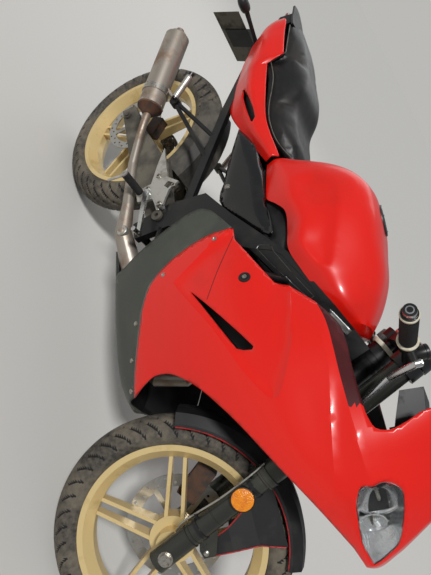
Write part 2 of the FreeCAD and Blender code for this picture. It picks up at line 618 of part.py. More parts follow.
def tail_lamp():
    lamp = loft([[(x, -w, z0), (x, w, z0), (x, w * 0.9, z1), (x, -w * 0.9, z1)]
                 for x, w, z0, z1 in ((-172, 64, 862, 902), (-235, 50, 892, 925), (-262, 40, 905, 928))])
    visor = loft([[(x, -w, z), (x, w, z), (x, w, z + 9), (x, -w, z + 9)]
                  for x, w, z in ((-128, 70, 932), (-176, 66, 936), (-278, 44, 950))])
    web = box((-245, -200), (-14, 14), (905, 945))
    return fused([lamp, visor, web])


def rear_mudguard(neighbours):
    """Undertray between the tail flanks, with the hanger that carries the plate."""
    tray = loft([[(x, -w, z), (x, w, z), (x, w, z + 5), (x, -w, z + 5)]
                 for x, w, z in ((330, 76, 700), (60, 76, 712), (-34, 66, 747), (-62, 62, 747))])
    hanger = loft([[(x, -w, z), (x, w, z), (x, w, z + 8), (x, -w, z + 8)]
                   for x, w, z in ((-56, 50, 744), (-190, 46, 786), (-262, 40, 770), (-322, 40, 690))])
    return largest(fused([tray, hanger]).cut(neighbours))


def number_plate(neighbours):
    """Blank plate on the back of the hanger, leaning with its lower edge further back."""
    plate = box((-2, 0), (-115, 115), (-55, 55))
    plate.rotate(V(0, 0, 0), V(0, 1, 0), 36)
    plate.translate(V(-302, 0, 722))
    return plate.cut(neighbours)


def rear_indicator(neighbours):
    """Right-hand lamp on its stalk."""
    stalk = rod((-165, -30, 788), (-196, -150, 800), 8)
    lamp = loft([[(x, -y, 800 + dz) for x, y, dz in ring] for ring in (
        ((-222, 150, -16), (-176, 150, -16), (-176, 150, 16), (-222, 150, 16)),
        ((-226, 180, -18), (-180, 180, -18), (-180, 180, 18), (-226, 180, 18)),
        ((-218, 206, -9), (-190, 206, -9), (-190, 206, 9), (-218, 206, 9)))])
    return largest(fused([stalk, lamp]).cut(neighbours))


def side_cover(neighbours):
    """Right-hand cover in the triangle between the rails and the beam."""
    outer = [(308, 690), (380, 722), (456, 735), (560, 730), (650, 706), (606, 640), (560, 592), (500, 598)]
    inner = [(330, 690), (388, 712), (458, 724), (556, 719), (628, 698), (592, 640), (556, 604), (502, 610)]
    cover = loft([[(x, -122, z) for x, z in outer], [(x, -140, z) for x, z in outer],
                  [(x, -152, z) for x, z in inner]])
    return largest(cover.cut(neighbours))


def largest(shape):
    """The piece that is left of a shape after its neighbours have been cut away from it."""
    return max(shape.Solids, key=lambda solid: solid.Volume)


def hugger():
    """Inner mudguard round the front of the rear tyre, with a skirt down each side."""
    r = REAR_TYRE_R + 14
    w = REAR_TYRE_HALF + 9
    arch = spin([(r, -w * 0.62), (r, w * 0.62), (r - 22, w), (r - 60, w + 1), (r - 60, w - 2), (r - 23, w - 3),
                 (r - 4, w * 0.58), (r - 4, -w * 0.58), (r - 23, -w + 3), (r - 60, -w + 2), (r - 60, -w - 1),
                 (r - 22, -w)], REAR_AXLE, 56.0, 24.0)
    arm_in = ARM_OUT - ARM_THICK
    tabs = [box((248, 278), (min(s * (w - 2), s * arm_in), max(s * (w - 2), s * arm_in)), (419, 431))
            for s in (-1, 1)]
    return fused([arch] + tabs)


SPRING_R = 22.0            # middle of the wire
SPRING_WIRE_R = 5.0
SPRING_COILS = 8


def rear_shock(neighbours):
    low, high = V(446, 0, 390), V(575, 0, 588)
    along = (high - low).normalize()
    first, last = 18.0, 172.0
    pitch = (last - first) / SPRING_COILS
    coils = []
    for k in range(SPRING_COILS):
        middle = low + along * (first + pitch * (k + 0.5))
        for way in (-1, 1):
            coils.append(rod(middle, middle + along * (way * SPRING_WIRE_R), SPRING_R + SPRING_WIRE_R, SPRING_R))
    plates = [rod(low + along * (at - 4), low + along * at, SPRING_R + 5) for at in (first, last + 4)]
    shock = fused([rod(low, high, 9), rod(high - along * 66, high - along * 22, 22),
                   rod(low + along * first, low + along * last, SPRING_R - SPRING_WIRE_R + 1)] + plates + coils)
    return largest(shock.cut(neighbours))


def chain():
    """One closed loop round both sprockets, its edge scalloped link by link."""
    y0 = SPROCKET_Y - CHAIN_WIDE / 2
    rear = (REAR_AXLE.x, REAR_AXLE.z, SPROCKET_R)
    front = DRIVE_SPROCKET
    dx, dz = front[0] - rear[0], front[1] - rear[1]
    span = math.hypot(dx, dz)
    base = math.atan2(dz, dx)
    lift = math.asin((rear[2] - front[2]) / span)
    spots = []

    def along_arc(cx, cz, r, a0, a1):
        n = max(2, round(abs(a1 - a0) * r / CHAIN_PITCH))
        for i in range(n):
            a = a0 + (a1 - a0) * i / n
            spots.append((cx + r * math.cos(a), cz + r * math.sin(a), math.cos(a), math.sin(a)))

    def along_run(p, q, nx, nz):
        n = max(2, round(math.hypot(q[0] - p[0], q[1] - p[1]) / CHAIN_PITCH))
        for i in range(n):
            t = i / n
            spots.append((p[0] + (q[0] - p[0]) * t, p[1] + (q[1] - p[1]) * t, nx, nz))

    up = base + math.pi / 2 - lift
    down = base - math.pi / 2 + lift

    def at(c, a):
        return (c[0] + c[2] * math.cos(a), c[1] + c[2] * math.sin(a))

    along_arc(*rear, up, down + 2 * math.pi)
    along_run(at(rear, down), at(front, down), math.cos(down), math.sin(down))
    along_arc(*front, down, up)
    along_run(at(front, up), at(rear, up), math.cos(up), math.sin(up))
    outer, inner = [], []
    for i, (x, z, nx, nz) in enumerate(spots):
        h = CHAIN_TALL / 2 - (2.0 if i % 2 else 0.0)
        outer.append((x + nx * h, z + nz * h))
        inner.append((x - nx * h, z - nz * h))
    return prism(outer, y0, y0 + CHAIN_WIDE).cut(prism(inner, y0, y0 + CHAIN_WIDE))


def on_disc(centre, r, angle, y):
    """A point at a radius and an angle, from +X towards +Z, about an axle."""
    a = math.radians(angle)
    return V(centre.x + r * math.cos(a), y, centre.z + r * math.sin(a))


def caliper(size, tilt, at, disc_centre, disc_r, disc_y):
    """Body over the disc's edge, with a slot that the disc runs in."""
    x, y, z = size
    body = box((-x / 2, x / 2), (-y / 2, y / 2), (-z / 2, z / 2))
    body.rotate(V(0, 0, 0), V(0, 1, 0), tilt)
    body.translate(at)
    slot_half = DISC_THICK / 2 + 2.0
    slot = Part.makeCylinder(disc_r + 3, 2 * slot_half, V(disc_centre.x, disc_y - slot_half, disc_centre.z),
                             V(0, 1, 0))
    return body.cut(slot)


def front_caliper(neighbours):
    at = on_disc(FRONT_AXLE, FRONT_DISC_R - 5, 141.5, FRONT_DISC_Y)
    body = caliper((52, 46, 96), -38, at, FRONT_AXLE, FRONT_DISC_R, FRONT_DISC_Y)
    bracket = rod(at + V(6, 14, 2), on_leg(95, FORK_HALF - 14), 9)
    return largest(fused([body, bracket]).cut(neighbours))


def rear_caliper(neighbours):
    at = on_disc(REAR_AXLE, REAR_DISC_R, 49.6, REAR_DISC_Y - 3)
    return caliper((70, 34, 44), 40, at, REAR_AXLE, REAR_DISC_R, REAR_DISC_Y).cut(neighbours)


# Foot controls

def footrest(neighbours):
    """Alloy bracket plate with heel guard, right-hand, and the peg on it."""
    outline = [(275, 452), (395, 452), (428, 486), (446, 452), (492, 428), (486, 404), (456, 396), (446, 346),
               (404, 342), (398, 396), (330, 424)]
    window = [(412, 452), (428, 472), (440, 450), (424, 438)]
    plate = prism(outline, -160, -152).cut(prism(window, -162, -150))
    peg = rod((423, -152, 361), (404, -248, 356), 11)
    feeler = rod((404, -240, 354), (400, -242, 298), 4)
    standoffs = [rod((484, -154, 418), (486, -136, 418), 8), rod((450, -154, 402), (489, -134, 402), 7)]
    return largest(fused([plate, peg, feeler] + standoffs).cut(neighbours))


def pedal(neighbours):
    """Brake pedal on the right; the gear pedal on the left is its mirror image."""
    lever = loft([[(x, y - 4, z - h), (x, y + 4, z - h), (x, y + 4, z + h), (x, y - 4, z + h)]
                  for x, y, z, h in ((424, -167, 384, 9), (500, -176, 370, 7), (590, -186, 357, 6))])
    tip = rod((584, -178, 357), (586, -214, 357), 7)
    pivot = rod((430, -158, 384), (430, -173, 384), 8)
    return largest(fused([lever, tip, pivot]).cut(neighbours))


def passenger_footrest(neighbours):
    """Two rods down from the rail to a boss, with the folded peg; right-hand."""
    rods = [rod((262, -112, 600), (112, -172, 514), 7), rod((338, -116, 566), (116, -172, 510), 7)]
    boss = rod(V(*PEG_BOSS) + V(0, 12, 0), V(*PEG_BOSS) - V(0, 12, 0), 16)
    peg = rod((112, -186, 514), (42, -192, 588), 10)
    return largest(fused(rods + [boss, peg]).cut(neighbours))


# Front end, drawn straight ahead

# Outline of the mudguard's lug on a leg, (x, z) from the axle
LEG_LUG = [(-55, 84), (-25, 124), (35, 104), (35, 76), (17, 70)]


def leg(side):
    """Slider with its axle clamp, and the upper tube above the seal ring."""
    def at(along):
        return on_leg(along, side * FORK_HALF)
    tubes = [rod(at(-30), at(70), FORK_LOWER_R + 1), rod(at(70), at(FORK_SPLIT), FORK_LOWER_R),
             rod(at(FORK_SPLIT - 12), at(FORK_SPLIT + 6), FORK_UPPER_R + 2),
             rod(at(FORK_SPLIT), at(FORK_TOP), FORK_UPPER_R)]
    reflector = rod(at(219), at(219) + V(0, side * 34, 0), 26)
    inner, outer = FORK_HALF - 26, FORK_HALF - 16
    lug = prism([(FRONT_AXLE.x + dx, FRONT_AXLE.z + dz) for dx, dz in LEG_LUG],
                min(side * inner, side * outer), max(side * inner, side * outer))
    hole = rod(FRONT_AXLE + V(0, -150, 0), FRONT_AXLE + V(0, 150, 0), AXLE_R)
    return fused(tubes + [reflector, lug]).cut(hole)


def axis_beside_leg(along):
    """The steering axis point level with a place on the legs, square to the axis."""
    return STEER_FOOT + STEER_AXIS * (on_leg(along) - STEER_FOOT).dot(STEER_AXIS)


def yoke(along):
    """Plate square to the steering axis that clamps both legs."""
    centre, middle = axis_beside_leg(along), on_leg(along)
    down = STEER_AXIS * (YOKE_THICK / 2)
    discs = [Part.makeCylinder(r, YOKE_THICK, c - down, STEER_AXIS)
             for c, r in ((centre, 34.0), (middle + V(0, FORK_HALF, 0), 39.0), (middle - V(0, FORK_HALF, 0), 39.0))]
    bridge = box((-22, 44), (-FORK_HALF, FORK_HALF), (-YOKE_THICK / 2, YOKE_THICK / 2))
    bridge.rotate(V(0, 0, 0), V(0, 1, 0), -RAKE)
    bridge.translate(centre)
    return discs + [bridge]


def yokes():
    """Both plates on the stem that turns in the head tube."""
    foot = axis_beside_leg(LOWER_YOKE) - STEER_AXIS * (YOKE_THICK / 2)
    top = axis_beside_leg(UPPER_YOKE) + STEER_AXIS * (YOKE_THICK / 2)
    stem = [rod(foot, top, STEM_R), rod(top - STEER_AXIS, top + STEER_AXIS * 14, 19)]
    whole = fused(yoke(LOWER_YOKE) + yoke(UPPER_YOKE) + stem)
    for side in (-1, 1):
        whole = whole.cut(rod(on_leg(300, side * FORK_HALF), on_leg(FORK_TOP + 50, side * FORK_HALF),
                              FORK_UPPER_R))
    return whole


def handlebar(side):
    """Clip-on: clamp ring on the leg under the top yoke, bar, switch block, grip and lever perch."""
    clamp_at = on_leg(UPPER_YOKE - YOKE_THICK / 2 - 18, side * FORK_HALF)
    ring = Part.makeCylinder(FORK_UPPER_R + 9, 30, clamp_at - STEER_AXIS * 15, STEER_AXIS)
    end = V(BAR_END[0], side * BAR_END[1], BAR_END[2])
    along = (end - clamp_at).normalize()
    inner = end - along * (GRIP_LONG + 5)
    pieces = [ring, rod(clamp_at + along * 30, end, BAR_R), rod(end - along * GRIP_LONG, end, GRIP_R),
              rod(inner, end - along * GRIP_LONG, GRIP_R + 5), rod(end, end + along * 14, 13),
              rod(inner - along * 30, inner, 18)]
    perch = inner - along * 16
    pieces.append(rod(perch, perch + V(44, 0, 6), 8))
    hole = rod(on_leg(300, side * FORK_HALF), on_leg(FORK_TOP + 60, side * FORK_HALF), FORK_UPPER_R)
    return fused(pieces).cut(hole), perch + V(40, 0, 6)


def brake_lever():
    """Right-hand lever, which has dropped on its perch and hangs forward and down."""
    bar, at = handlebar(-1)
    lever = fused([rod(at + V(0, -10, 8), at + V(0, -10, -6), 9), rod(at + V(0, -10, 0), (1076, -172, 856), 8, 7),
                   rod((1076, -172, 856), (1119, -158, 782), 7, 3)])
    return largest(lever.cut(bar))


def clutch_lever():
    bar, at = handlebar(1)
    lever = fused([rod(at + V(0, 0, 12), at - V(0, 0, 12), 9), rod(at + V(2, 4, 0), (1000, 330, 898), 7, 5)])
    return largest(lever.cut(bar))


def front_mudguard(neighbours):
    """Arched band over the tyre with a side skirt and an arm down to each leg's lug."""
    r = FRONT_TYRE_R + 14
    w = FRONT_TYRE_HALF + 10
    crown = spin([(r + 6, -w * 0.3), (r + 6, w * 0.3), (r - 2, w * 0.78), (r - 26, w + 1), (r - 34, w + 1),
                  (r - 34, w - 2), (r - 28, w - 2), (r - 5, w * 0.72), (r + 2, w * 0.26), (r + 2, -w * 0.26),
                  (r - 5, -w * 0.72), (r - 28, -w + 2), (r - 34, -w + 2), (r - 34, -w - 1), (r - 26, -w - 1),
                  (r - 2, -w * 0.78)], FRONT_AXLE, 98.0, 65.5)
    arm_out = FORK_HALF - 26
    # Rear and front edge, height and outer face of the arm, from the axle
    levels = [(-93, 60, r - 44, w + 1), (-55, 43, r - 106, w + 1), (-17, 39, 144, arm_out), (11, 37, 78, arm_out)]
    ax, az = FRONT_AXLE.x, FRONT_AXLE.z
    arms = []
    for upper, lower in zip(levels, levels[1:]):
        arms.append(loft([[(ax + x0, y - 3, az + z), (ax + x0, y, az + z), (ax + x1, y, az + z),
                           (ax + x1, y - 3, az + z)] for x0, x1, z, y in (upper, lower)]))
    return fused([crown] + arms + [mirrored(arm) for arm in arms]).cut(neighbours)


def front_axle():
    hub = FRONT_HUB_HALF
    leg_in = FORK_HALF - FORK_LOWER_R - 1
    return spindle(FRONT_AXLE, FORK_HALF + 32, FORK_HALF + FORK_LOWER_R + 1,
                   [(-leg_in, -hub - RUN_GAP), (hub + DISC_THICK + RUN_GAP, leg_in)])


# The parked stance

def steered(point_or_shape, angle):
    if isinstance(point_or_shape, V):
        turn = FreeCAD.Rotation(STEER_AXIS, angle)
        return STEER_FOOT + turn.multVec(point_or_shape - STEER_FOOT)
    turned = point_or_shape.copy()
    turned.rotate(STEER_FOOT, STEER_AXIS, angle)
    return turned


def lowest(profile, centre, across):
    """Height of the lowest point of a revolved profile with that centre and unit axle direction."""
    flat = math.sqrt(max(0.0, 1.0 - across.z ** 2))
    return centre.z - max(r * flat + abs(y * across.z) for r, y in profile)


def stance():
    """Rotation and lift that stand both tyres on the floor at the stated lean, with the steering on its stop."""
    front_centre = steered(FRONT_AXLE, STEER_LOCK)
    front_across = FreeCAD.Rotation(STEER_AXIS, STEER_LOCK).multVec(V(0, 1, 0))
    front_profile = tyre_profile(FRONT_TYRE_R, FRONT_TYRE_HALF, FRONT_RIM_HALF)
    rear_profile = tyre_profile(REAR_TYRE_R, REAR_TYRE_HALF, REAR_RIM_HALF)
    pitch = 0.0
    for _ in range(12):
        turn = FreeCAD.Rotation(V(0, 1, 0), pitch).multiply(FreeCAD.Rotation(V(1, 0, 0), -LEAN))
        front = lowest(front_profile, turn.multVec(front_centre), turn.multVec(front_across))
        rear = lowest(rear_profile, turn.multVec(REAR_AXLE), turn.multVec(V(0, 1, 0)))
        pitch += math.degrees((front - rear) / WHEELBASE)
    return turn, -rear


def side_stand(turn, lift):
    """Tube leg from the boss on the frame's pin to a flat foot that lies on the floor."""
    sx, sy, sz = STAND_FOOT_SIZE
    foot_x, foot_y = STAND_FOOT
    # Height, in the bike frame, that puts the leg's end inside the foot's thickness
    level = turn.multVec(V(foot_x, foot_y, 0)).z
    foot_z = (sz * 0.6 - lift - level) / turn.multVec(V(0, 0, 1)).z
    pivot, foot = V(*STAND_PIVOT), V(foot_x, foot_y, foot_z)
    axis = V(*STAND_AXIS).normalize()
    leg_ = fused([rod(pivot, foot, STAND_R),
                  rod(pivot - axis * STAND_BOSS_HALF, pivot + axis * STAND_BOSS_HALF, STAND_BOSS_R)])
    leg_ = leg_.cut(rod(pivot - axis * 30, pivot + axis * 30, STAND_PIN_R + AXLE_CLEARANCE))
    leg_.rotate(V(0, 0, 0), turn.Axis, math.degrees(turn.Angle))
    leg_.translate(V(0, 0, lift))
    at = turn.multVec(foot)
    pad = box((at.x - sx / 2, at.x + sx / 2), (at.y - sy / 2 + 6, at.y + sy / 2 + 6), (0, sz))
    above = leg_.common(box((at.x - 900, at.x + 900), (at.y - 900, at.y + 900), (0.5, 900)))
    return fused([above, pad])


def root_pieces():
    fairing, belly = fairing_panels()
    main_frame, arm = frame(), swingarm()
    rails = subframe(main_frame)
    guard = rear_mudguard(rails)
    lamp = headlamp()
    tank = fuel_tank()
    pieces = {
        "frame": main_frame, "swingarm": arm, "subframe": rails, "engine": engine(),
        "radiator": radiator(main_frame), "exhaust_chamber": exhaust_chamber(),
        "belly_pan": belly, "headlamp": lamp, "dash": dash(lamp), "fuel_tank": tank, "seat": seat(),
        "tail_cowl": tail_cowl(), "tail_lamp": tail_lamp(), "rear_mudguard": guard,
        "number_plate": number_plate(guard), "hugger": hugger(),
        "rear_shock": rear_shock(main_frame.fuse(arm)), "chain": chain(), "rear_caliper": rear_caliper(arm),
    }
    bracket = footrest(main_frame)
    pieces["silencer"] = silencer(passenger_footrest(rails))
    pieces["fairing_right"] = fairing
    pieces["fairing_left"] = mirrored(fairing)
    for name, right in (("rear_indicators", rear_indicator(guard)), ("footrests", bracket),
                        ("side_covers", side_cover(main_frame.fuse([rails, tank]))), ("foot_pedals", pedal(bracket)),
                        ("passenger_footrests", passenger_footrest(rails))):
        pieces[name] = pair(right)
    return pieces


def rear_wheel_pieces():
    return {
        "rear_rim": rim(REAR_AXLE, REAR_RIM_HALF, REAR_HUB_RIGHT, REAR_HUB_LEFT),
        "rear_tyre": tyre(REAR_AXLE, REAR_TYRE_R, REAR_TYRE_HALF, REAR_RIM_HALF),
        "rear_disc": brake_disc(REAR_AXLE, REAR_DISC_Y, REAR_DISC_R, 26.0), "rear_sprocket": sprocket(),
    }


def steering_pieces():
    right, left = leg(-1), leg(1)
    return {
        "yokes": yokes(), "fork_leg_right": right, "fork_leg_left": left, "handlebar_right": handlebar(-1)[0],
        "handlebar_left": handlebar(1)[0], "brake_lever": brake_lever(), "clutch_lever": clutch_lever(),
        "front_mudguard": front_mudguard(right.fuse(left)), "front_caliper": front_caliper(left),
        "front_axle": front_axle().cut(right.fuse(left)),
    }


def front_wheel_pieces():
    return {
        "front_rim": rim(FRONT_AXLE, FRONT_RIM_HALF, FRONT_HUB_HALF, FRONT_HUB_HALF),
        "front_tyre": tyre(FRONT_AXLE, FRONT_TYRE_R, FRONT_TYRE_HALF, FRONT_RIM_HALF),
        "front_disc": brake_disc(FRONT_AXLE, FRONT_DISC_Y, FRONT_DISC_R, 30.0),
    }


def parked():
    """Every piece by node name, standing on the floor, with the row's origin under the middle."""
    turn, lift = stance()
    nodes = {}
    for pieces, turned in ((root_pieces(), False), (rear_wheel_pieces(), False),
                           (steering_pieces(), True), (front_wheel_pieces(), True)):
        for name, shape in pieces.items():
            placed = steered(shape, STEER_LOCK) if turned else shape.copy()
            placed.rotate(V(0, 0, 0), turn.Axis, math.degrees(turn.Angle))
            placed.translate(V(0, 0, lift))
            nodes[name] = placed
    nodes["side_stand"] = side_stand(turn, lift)
    bounds = FreeCAD.BoundBox()
    for shape in nodes.values():
        bounds.add(shape.optimalBoundingBox(True, False))
    middle = V((bounds.XMin + bounds.XMax) / 2, (bounds.YMin + bounds.YMax) / 2, 0)
    for shape in nodes.values():
        shape.translate(middle * -1)
    return nodes, turn, lift, middle


def main():
    os.makedirs("parts", exist_ok=True)
    nodes, _, _, _ = parked()
    for name, shape in nodes.items():
        shape.exportStep("parts/" + name + ".step")


if __name__ == "__main__":
    main()
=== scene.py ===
import json
from bisect import bisect_right
from functools import lru_cache
from math import cos, exp, hypot, pi, radians, sin

import bmesh
import bpy
from mathutils import Matrix, Vector
from mathutils.geometry import delaunay_2d_cdt


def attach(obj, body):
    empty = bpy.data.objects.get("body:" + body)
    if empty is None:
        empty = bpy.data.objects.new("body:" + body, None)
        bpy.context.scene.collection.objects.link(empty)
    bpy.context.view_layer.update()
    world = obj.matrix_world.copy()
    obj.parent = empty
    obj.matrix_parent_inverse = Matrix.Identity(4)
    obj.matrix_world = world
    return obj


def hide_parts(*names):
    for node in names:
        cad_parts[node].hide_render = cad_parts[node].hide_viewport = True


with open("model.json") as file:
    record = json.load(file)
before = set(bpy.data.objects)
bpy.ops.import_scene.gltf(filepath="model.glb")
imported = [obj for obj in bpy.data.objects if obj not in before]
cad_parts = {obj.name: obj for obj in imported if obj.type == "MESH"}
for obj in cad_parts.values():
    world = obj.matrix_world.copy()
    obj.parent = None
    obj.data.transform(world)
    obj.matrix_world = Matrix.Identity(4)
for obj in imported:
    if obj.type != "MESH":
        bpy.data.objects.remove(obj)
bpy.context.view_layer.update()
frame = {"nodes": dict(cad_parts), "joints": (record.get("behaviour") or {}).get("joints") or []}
cad = frame["nodes"]

# Camera: the photograph was taken with the camera held on its side, from the machine's front right
# at eye height, so its frame stands upright while the machine lies across it.
camera_data = bpy.data.cameras.new("camera")
camera_data.lens = 34.781
camera = bpy.data.objects.new("camera", camera_data)
bpy.context.scene.collection.objects.link(camera)
camera.location = (0.92513, -1.19743, 1.17026)
camera.rotation_euler = (radians(42.1376), radians(-54.7545), radians(77.6714))
bpy.context.scene.camera = camera

# Main frame: two pressed beams from the steering head down to the pivot plates, welded, then painted
# satin black. Every piece is drawn on the upright machine, in millimetres from the rear tyre's contact
# point (x forward, y left, z up), and set down by the machine's matrix, which the joints' axes give.
RAKE = radians(24.5)
STEER_LOCK = radians(33)
STEERING_FOOT = Vector((1450, 0, 0))
REAR_TYRE_R = 307
axes = {joint["name"]: joint for joint in frame["joints"]}
across = Vector(axes["rear_wheel_spin"]["axis"]).normalized()
steering_axis = Vector(axes["steering"]["axis"]).normalized()
square = across.cross(steering_axis)
ahead = square * cos(RAKE) - steering_axis * sin(RAKE)
upward = square * sin(RAKE) + steering_axis * cos(RAKE)
machine = Matrix((ahead, across, upward)).transposed().to_4x4()
machine.translation = Vector(axes["rear_wheel_spin"]["pos_m"]) - upward * REAR_TYRE_R / 1000
machine = machine @ Matrix.Scale(0.001, 4)
front = (machine @ Matrix.Translation(STEERING_FOOT)
         @ Matrix.Rotation(STEER_LOCK, 4, Vector((-sin(RAKE), 0, cos(RAKE)))) @ Matrix.Translation(-STEERING_FOOT))


def linear(colour):
    """An sRGB hex colour as the linear RGBA that Blender's sockets take."""
    parts = [int(colour[i:i + 2], 16) / 255 for i in (1, 3, 5)]
    return tuple(c / 12.92 if c <= 0.04045 else ((c + 0.055) / 1.055) ** 2.4 for c in parts) + (1.0,)


def add(tree, kind, settings=(), links=()):
    """Adds a shader node, sets its properties and sockets by name, and links sources to its sockets."""
    node = tree.nodes.new(kind)
    for name, value in dict(settings).items():
        if name == "stops":
            ramp = node.color_ramp.elements
            while len(ramp) < len(value):
                ramp.new(0.5)
            for stop, (at, shade) in zip(ramp, value):
                stop.position = at
                stop.color = shade
        elif name in node.inputs:
            node.inputs[name].default_value = value
        else:
            setattr(node, name, value)
    for name, source in dict(links).items():
        tree.links.new(source, node.inputs[name])
    return node


BLACK, WHITE = (0, 0, 0, 1), (1, 1, 1, 1)


def surface(name, clean, worn, share, patch, rough, worn_rough, grain, relief, **sockets):
    """A finish that is clean in places and worn in others. share is how much is worn, patch the size of a worn
    place and grain that of the fine texture, both in millimetres, and relief is the texture's height."""
    material = bpy.data.materials.new(name)
    material.use_nodes = True
    tree = material.node_tree
    shader = tree.nodes["Principled BSDF"]
    for socket, value in sockets.items():
        shader.inputs[socket.replace("_", " ")].default_value = value
    place = add(tree, "ShaderNodeTexCoord").outputs["Object"]
    clouds = add(tree, "ShaderNodeTexNoise", {"Scale": 1000 / patch, "Detail": 6, "Roughness": 0.65}, {"Vector": place})
    middle = 0.5 + (0.5 - share) * 0.42
    wear = add(tree, "ShaderNodeValToRGB", {"stops": ((middle - 0.07, BLACK), (middle + 0.09, WHITE))},
               {"Fac": clouds.outputs["Fac"]})
    tint = add(tree, "ShaderNodeMixRGB", {"Color1": linear(clean), "Color2": linear(worn)},
               {"Fac": wear.outputs["Color"]})
    gloss = add(tree, "ShaderNodeMapRange", {"To Min": rough, "To Max": worn_rough}, {"Value": wear.outputs["Color"]})
    fine = add(tree, "ShaderNodeTexNoise", {"Scale": 1000 / grain, "Detail": 3}, {"Vector": place})
    bump = add(tree, "ShaderNodeBump", {"Strength": 0.6, "Distance": relief / 1000}, {"Height": fine.outputs["Fac"]})
    tree.links.new(tint.outputs["Color"], shader.inputs["Base Color"])
    tree.links.new(gloss.outputs["Result"], shader.inputs["Roughness"])
    tree.links.new(bump.outputs["Normal"], shader.inputs["Normal"])
    return material


def dress(finish, *nodes):
    """Gives CAD nodes that stay in view their finish."""
    for node in nodes:
        cad[node].data.materials.clear()
        cad[node].data.materials.append(finish)


# Satin paint over cast and pressed aluminium: a soft wide highlight, dust in the grain, rubbed dull where boots touch
satin_black_paint = surface("satin_black_painted_aluminium", "#131314", "#262421", 0.25, 90, 0.34, 0.5, 1.2, 0.1)
dress(satin_black_paint, "frame", "yokes")

# Half fairing: two ABS mouldings, right and left, sprayed red under clear lacquer and black inside, screwed
# to each other under the nose, to the belly pan and to a rubber-bushed stay from each beam. Each is a smooth
# skin through the form's levels, with the panel round the slot set in, and its lip at the cockpit coloured
# a dull dark red as painted shade.
LEVELS = (     # height, then (x, half width) at the tail, flank, shoulder, head, cheek and tip
    (213, (556, 62), (800, 78), (940, 72), (990, 50), (1012, 28), (1024, 8)),
    (240, (556, 116), (800, 130), (960, 118), (1016, 86), (1030, 50), (1036, 14)),
    (306, (556, 150), (800, 176), (1000, 168), (1100, 138), (1160, 85), (1196, 28)),
    (400, (556, 168), (800, 206), (1000, 206), (1140, 166), (1215, 105), (1262, 34)),
    (500, (560, 178), (820, 228), (1020, 236), (1190, 190), (1282, 120), (1334, 40)),
    (600, (570, 182), (840, 238), (1050, 247), (1230, 208), (1340, 134), (1398, 44)),
    (680, (600, 180), (850, 226), (1070, 243), (1262, 206), (1380, 134), (1440, 44)),
    (750, (660, 166), (880, 196), (1080, 228), (1290, 190), (1402, 122), (1478, 38)),
    (811, (700, 150), (920, 178), (1090, 210), (1282, 190), (1396, 112), (1458, 32)),
    (840, (730, 142), (940, 158), (1090, 187), (1266, 178), (1384, 106), (1442, 29)),
    (870, (760, 136), (960, 150), (1110, 176), (1260, 164), (1364, 98), (1424, 26)),
    (954, (860, 126), (1020, 146), (1130, 160), (1240, 142), (1318, 86), (1372, 20)),
    (1010, (900, 120), (1040, 136), (1130, 146), (1212, 126), (1278, 76), (1322, 17)),
)
LIP_LEVELS = (811, 840)
HEIGHTS = [row[0] for row in LEVELS]
STRETCH = 150.0            # millimetres of the flat pattern for each of the six spans round a level
NOSE = 6 * STRETCH


def curve(knots, values, t, sharp=()):
    """The smooth curve through values at uneven knots, with a corner at each sharp knot."""
    i = min(max(bisect_right(knots, t) - 1, 0), len(knots) - 2)
    span = knots[i + 1] - knots[i]
    rise = (values[i + 1] - values[i]) / span
    start = end = rise
    if i > 0 and knots[i] not in sharp:
        gap = knots[i] - knots[i - 1]
        start = ((values[i] - values[i - 1]) / gap * span + rise * gap) / (gap + span)
    if i + 2 < len(knots) and knots[i + 1] not in sharp:
        gap = knots[i + 2] - knots[i + 1]
        end = ((values[i + 2] - values[i + 1]) / gap * span + rise * gap) / (gap + span)
    u = (t - knots[i]) / span
    ease = u * u * (3 - 2 * u)
    return (values[i] * (1 - ease) + values[i + 1] * ease
            + span * u * (1 - u) * (start * (1 - u) - end * u))


@lru_cache(maxsize=None)
def level_knots(z):
    xs, widths = ([curve(HEIGHTS, [row[k][part] for row in LEVELS], z, LIP_LEVELS) for k in range(1, 7)]
                  for part in (0, 1))
    return xs + [xs[5] + (xs[5] - xs[4]) / 8, xs[5]], widths + [0.0, -widths[5]]


def form_skin(u, z):
    """A point of the right half's outer skin, from the flat pattern."""
    xs, widths = level_knots(round(z, 2))
    knots = list(range(8))
    return Vector((curve(knots, xs, u / STRETCH), -curve(knots, widths, u / STRETCH), z))


def on_form(x, z):
    """The flat pattern's point whose skin point has that x, or the nose's centre line beyond it."""
    low, high = 0.0, NOSE
    if form_skin(high, z).x < x:
        return high, z
    for _ in range(26):
        middle = (low + high) / 2
        if form_skin(middle, z).x < x:
            low = middle
        else:
            high = middle
    return low, z


def dense(line, step):
    """Points about a step apart on the smooth curve through a line of points."""
    knots = [0.0]
    for p, q in zip(line, line[1:]):
        knots.append(knots[-1] + (Vector(q) - Vector(p)).length)
    count = max(1, round(knots[-1] / step))
    return [tuple(curve(knots, axis, knots[-1] * i / count) for axis in zip(*line)) for i in range(count + 1)]


def straight(line, step):
    """Points about a step apart along the straight runs of a line, its corners kept."""
    points = []
    for p, q in zip(line, line[1:]):
        points += dense([p, q], step)[:-1]
    return points + [line[-1]]


def inside(point, outline):
    x, y = point
    crossed = False
    for (x0, y0), (x1, y1) in zip(outline, outline[1:] + outline[:1]):
        if (y0 > y) != (y1 > y) and x < (x1 - x0) * (y - y0) / (y1 - y0) + x0:
            crossed = not crossed
    return crossed


def away(point, line):
    """The distance of a flat point from an open line."""
    x, y = point
    best = 1e9
    for (x0, y0), (x1, y1) in zip(line, line[1:]):
        dx, dy = x1 - x0, y1 - y0
        t = min(1.0, max(0.0, ((x - x0) * dx + (y - y0) * dy) / (dx * dx + dy * dy + 1e-9)))
        best = min(best, hypot(x - x0 - t * dx, y - y0 - t * dy))
    return best


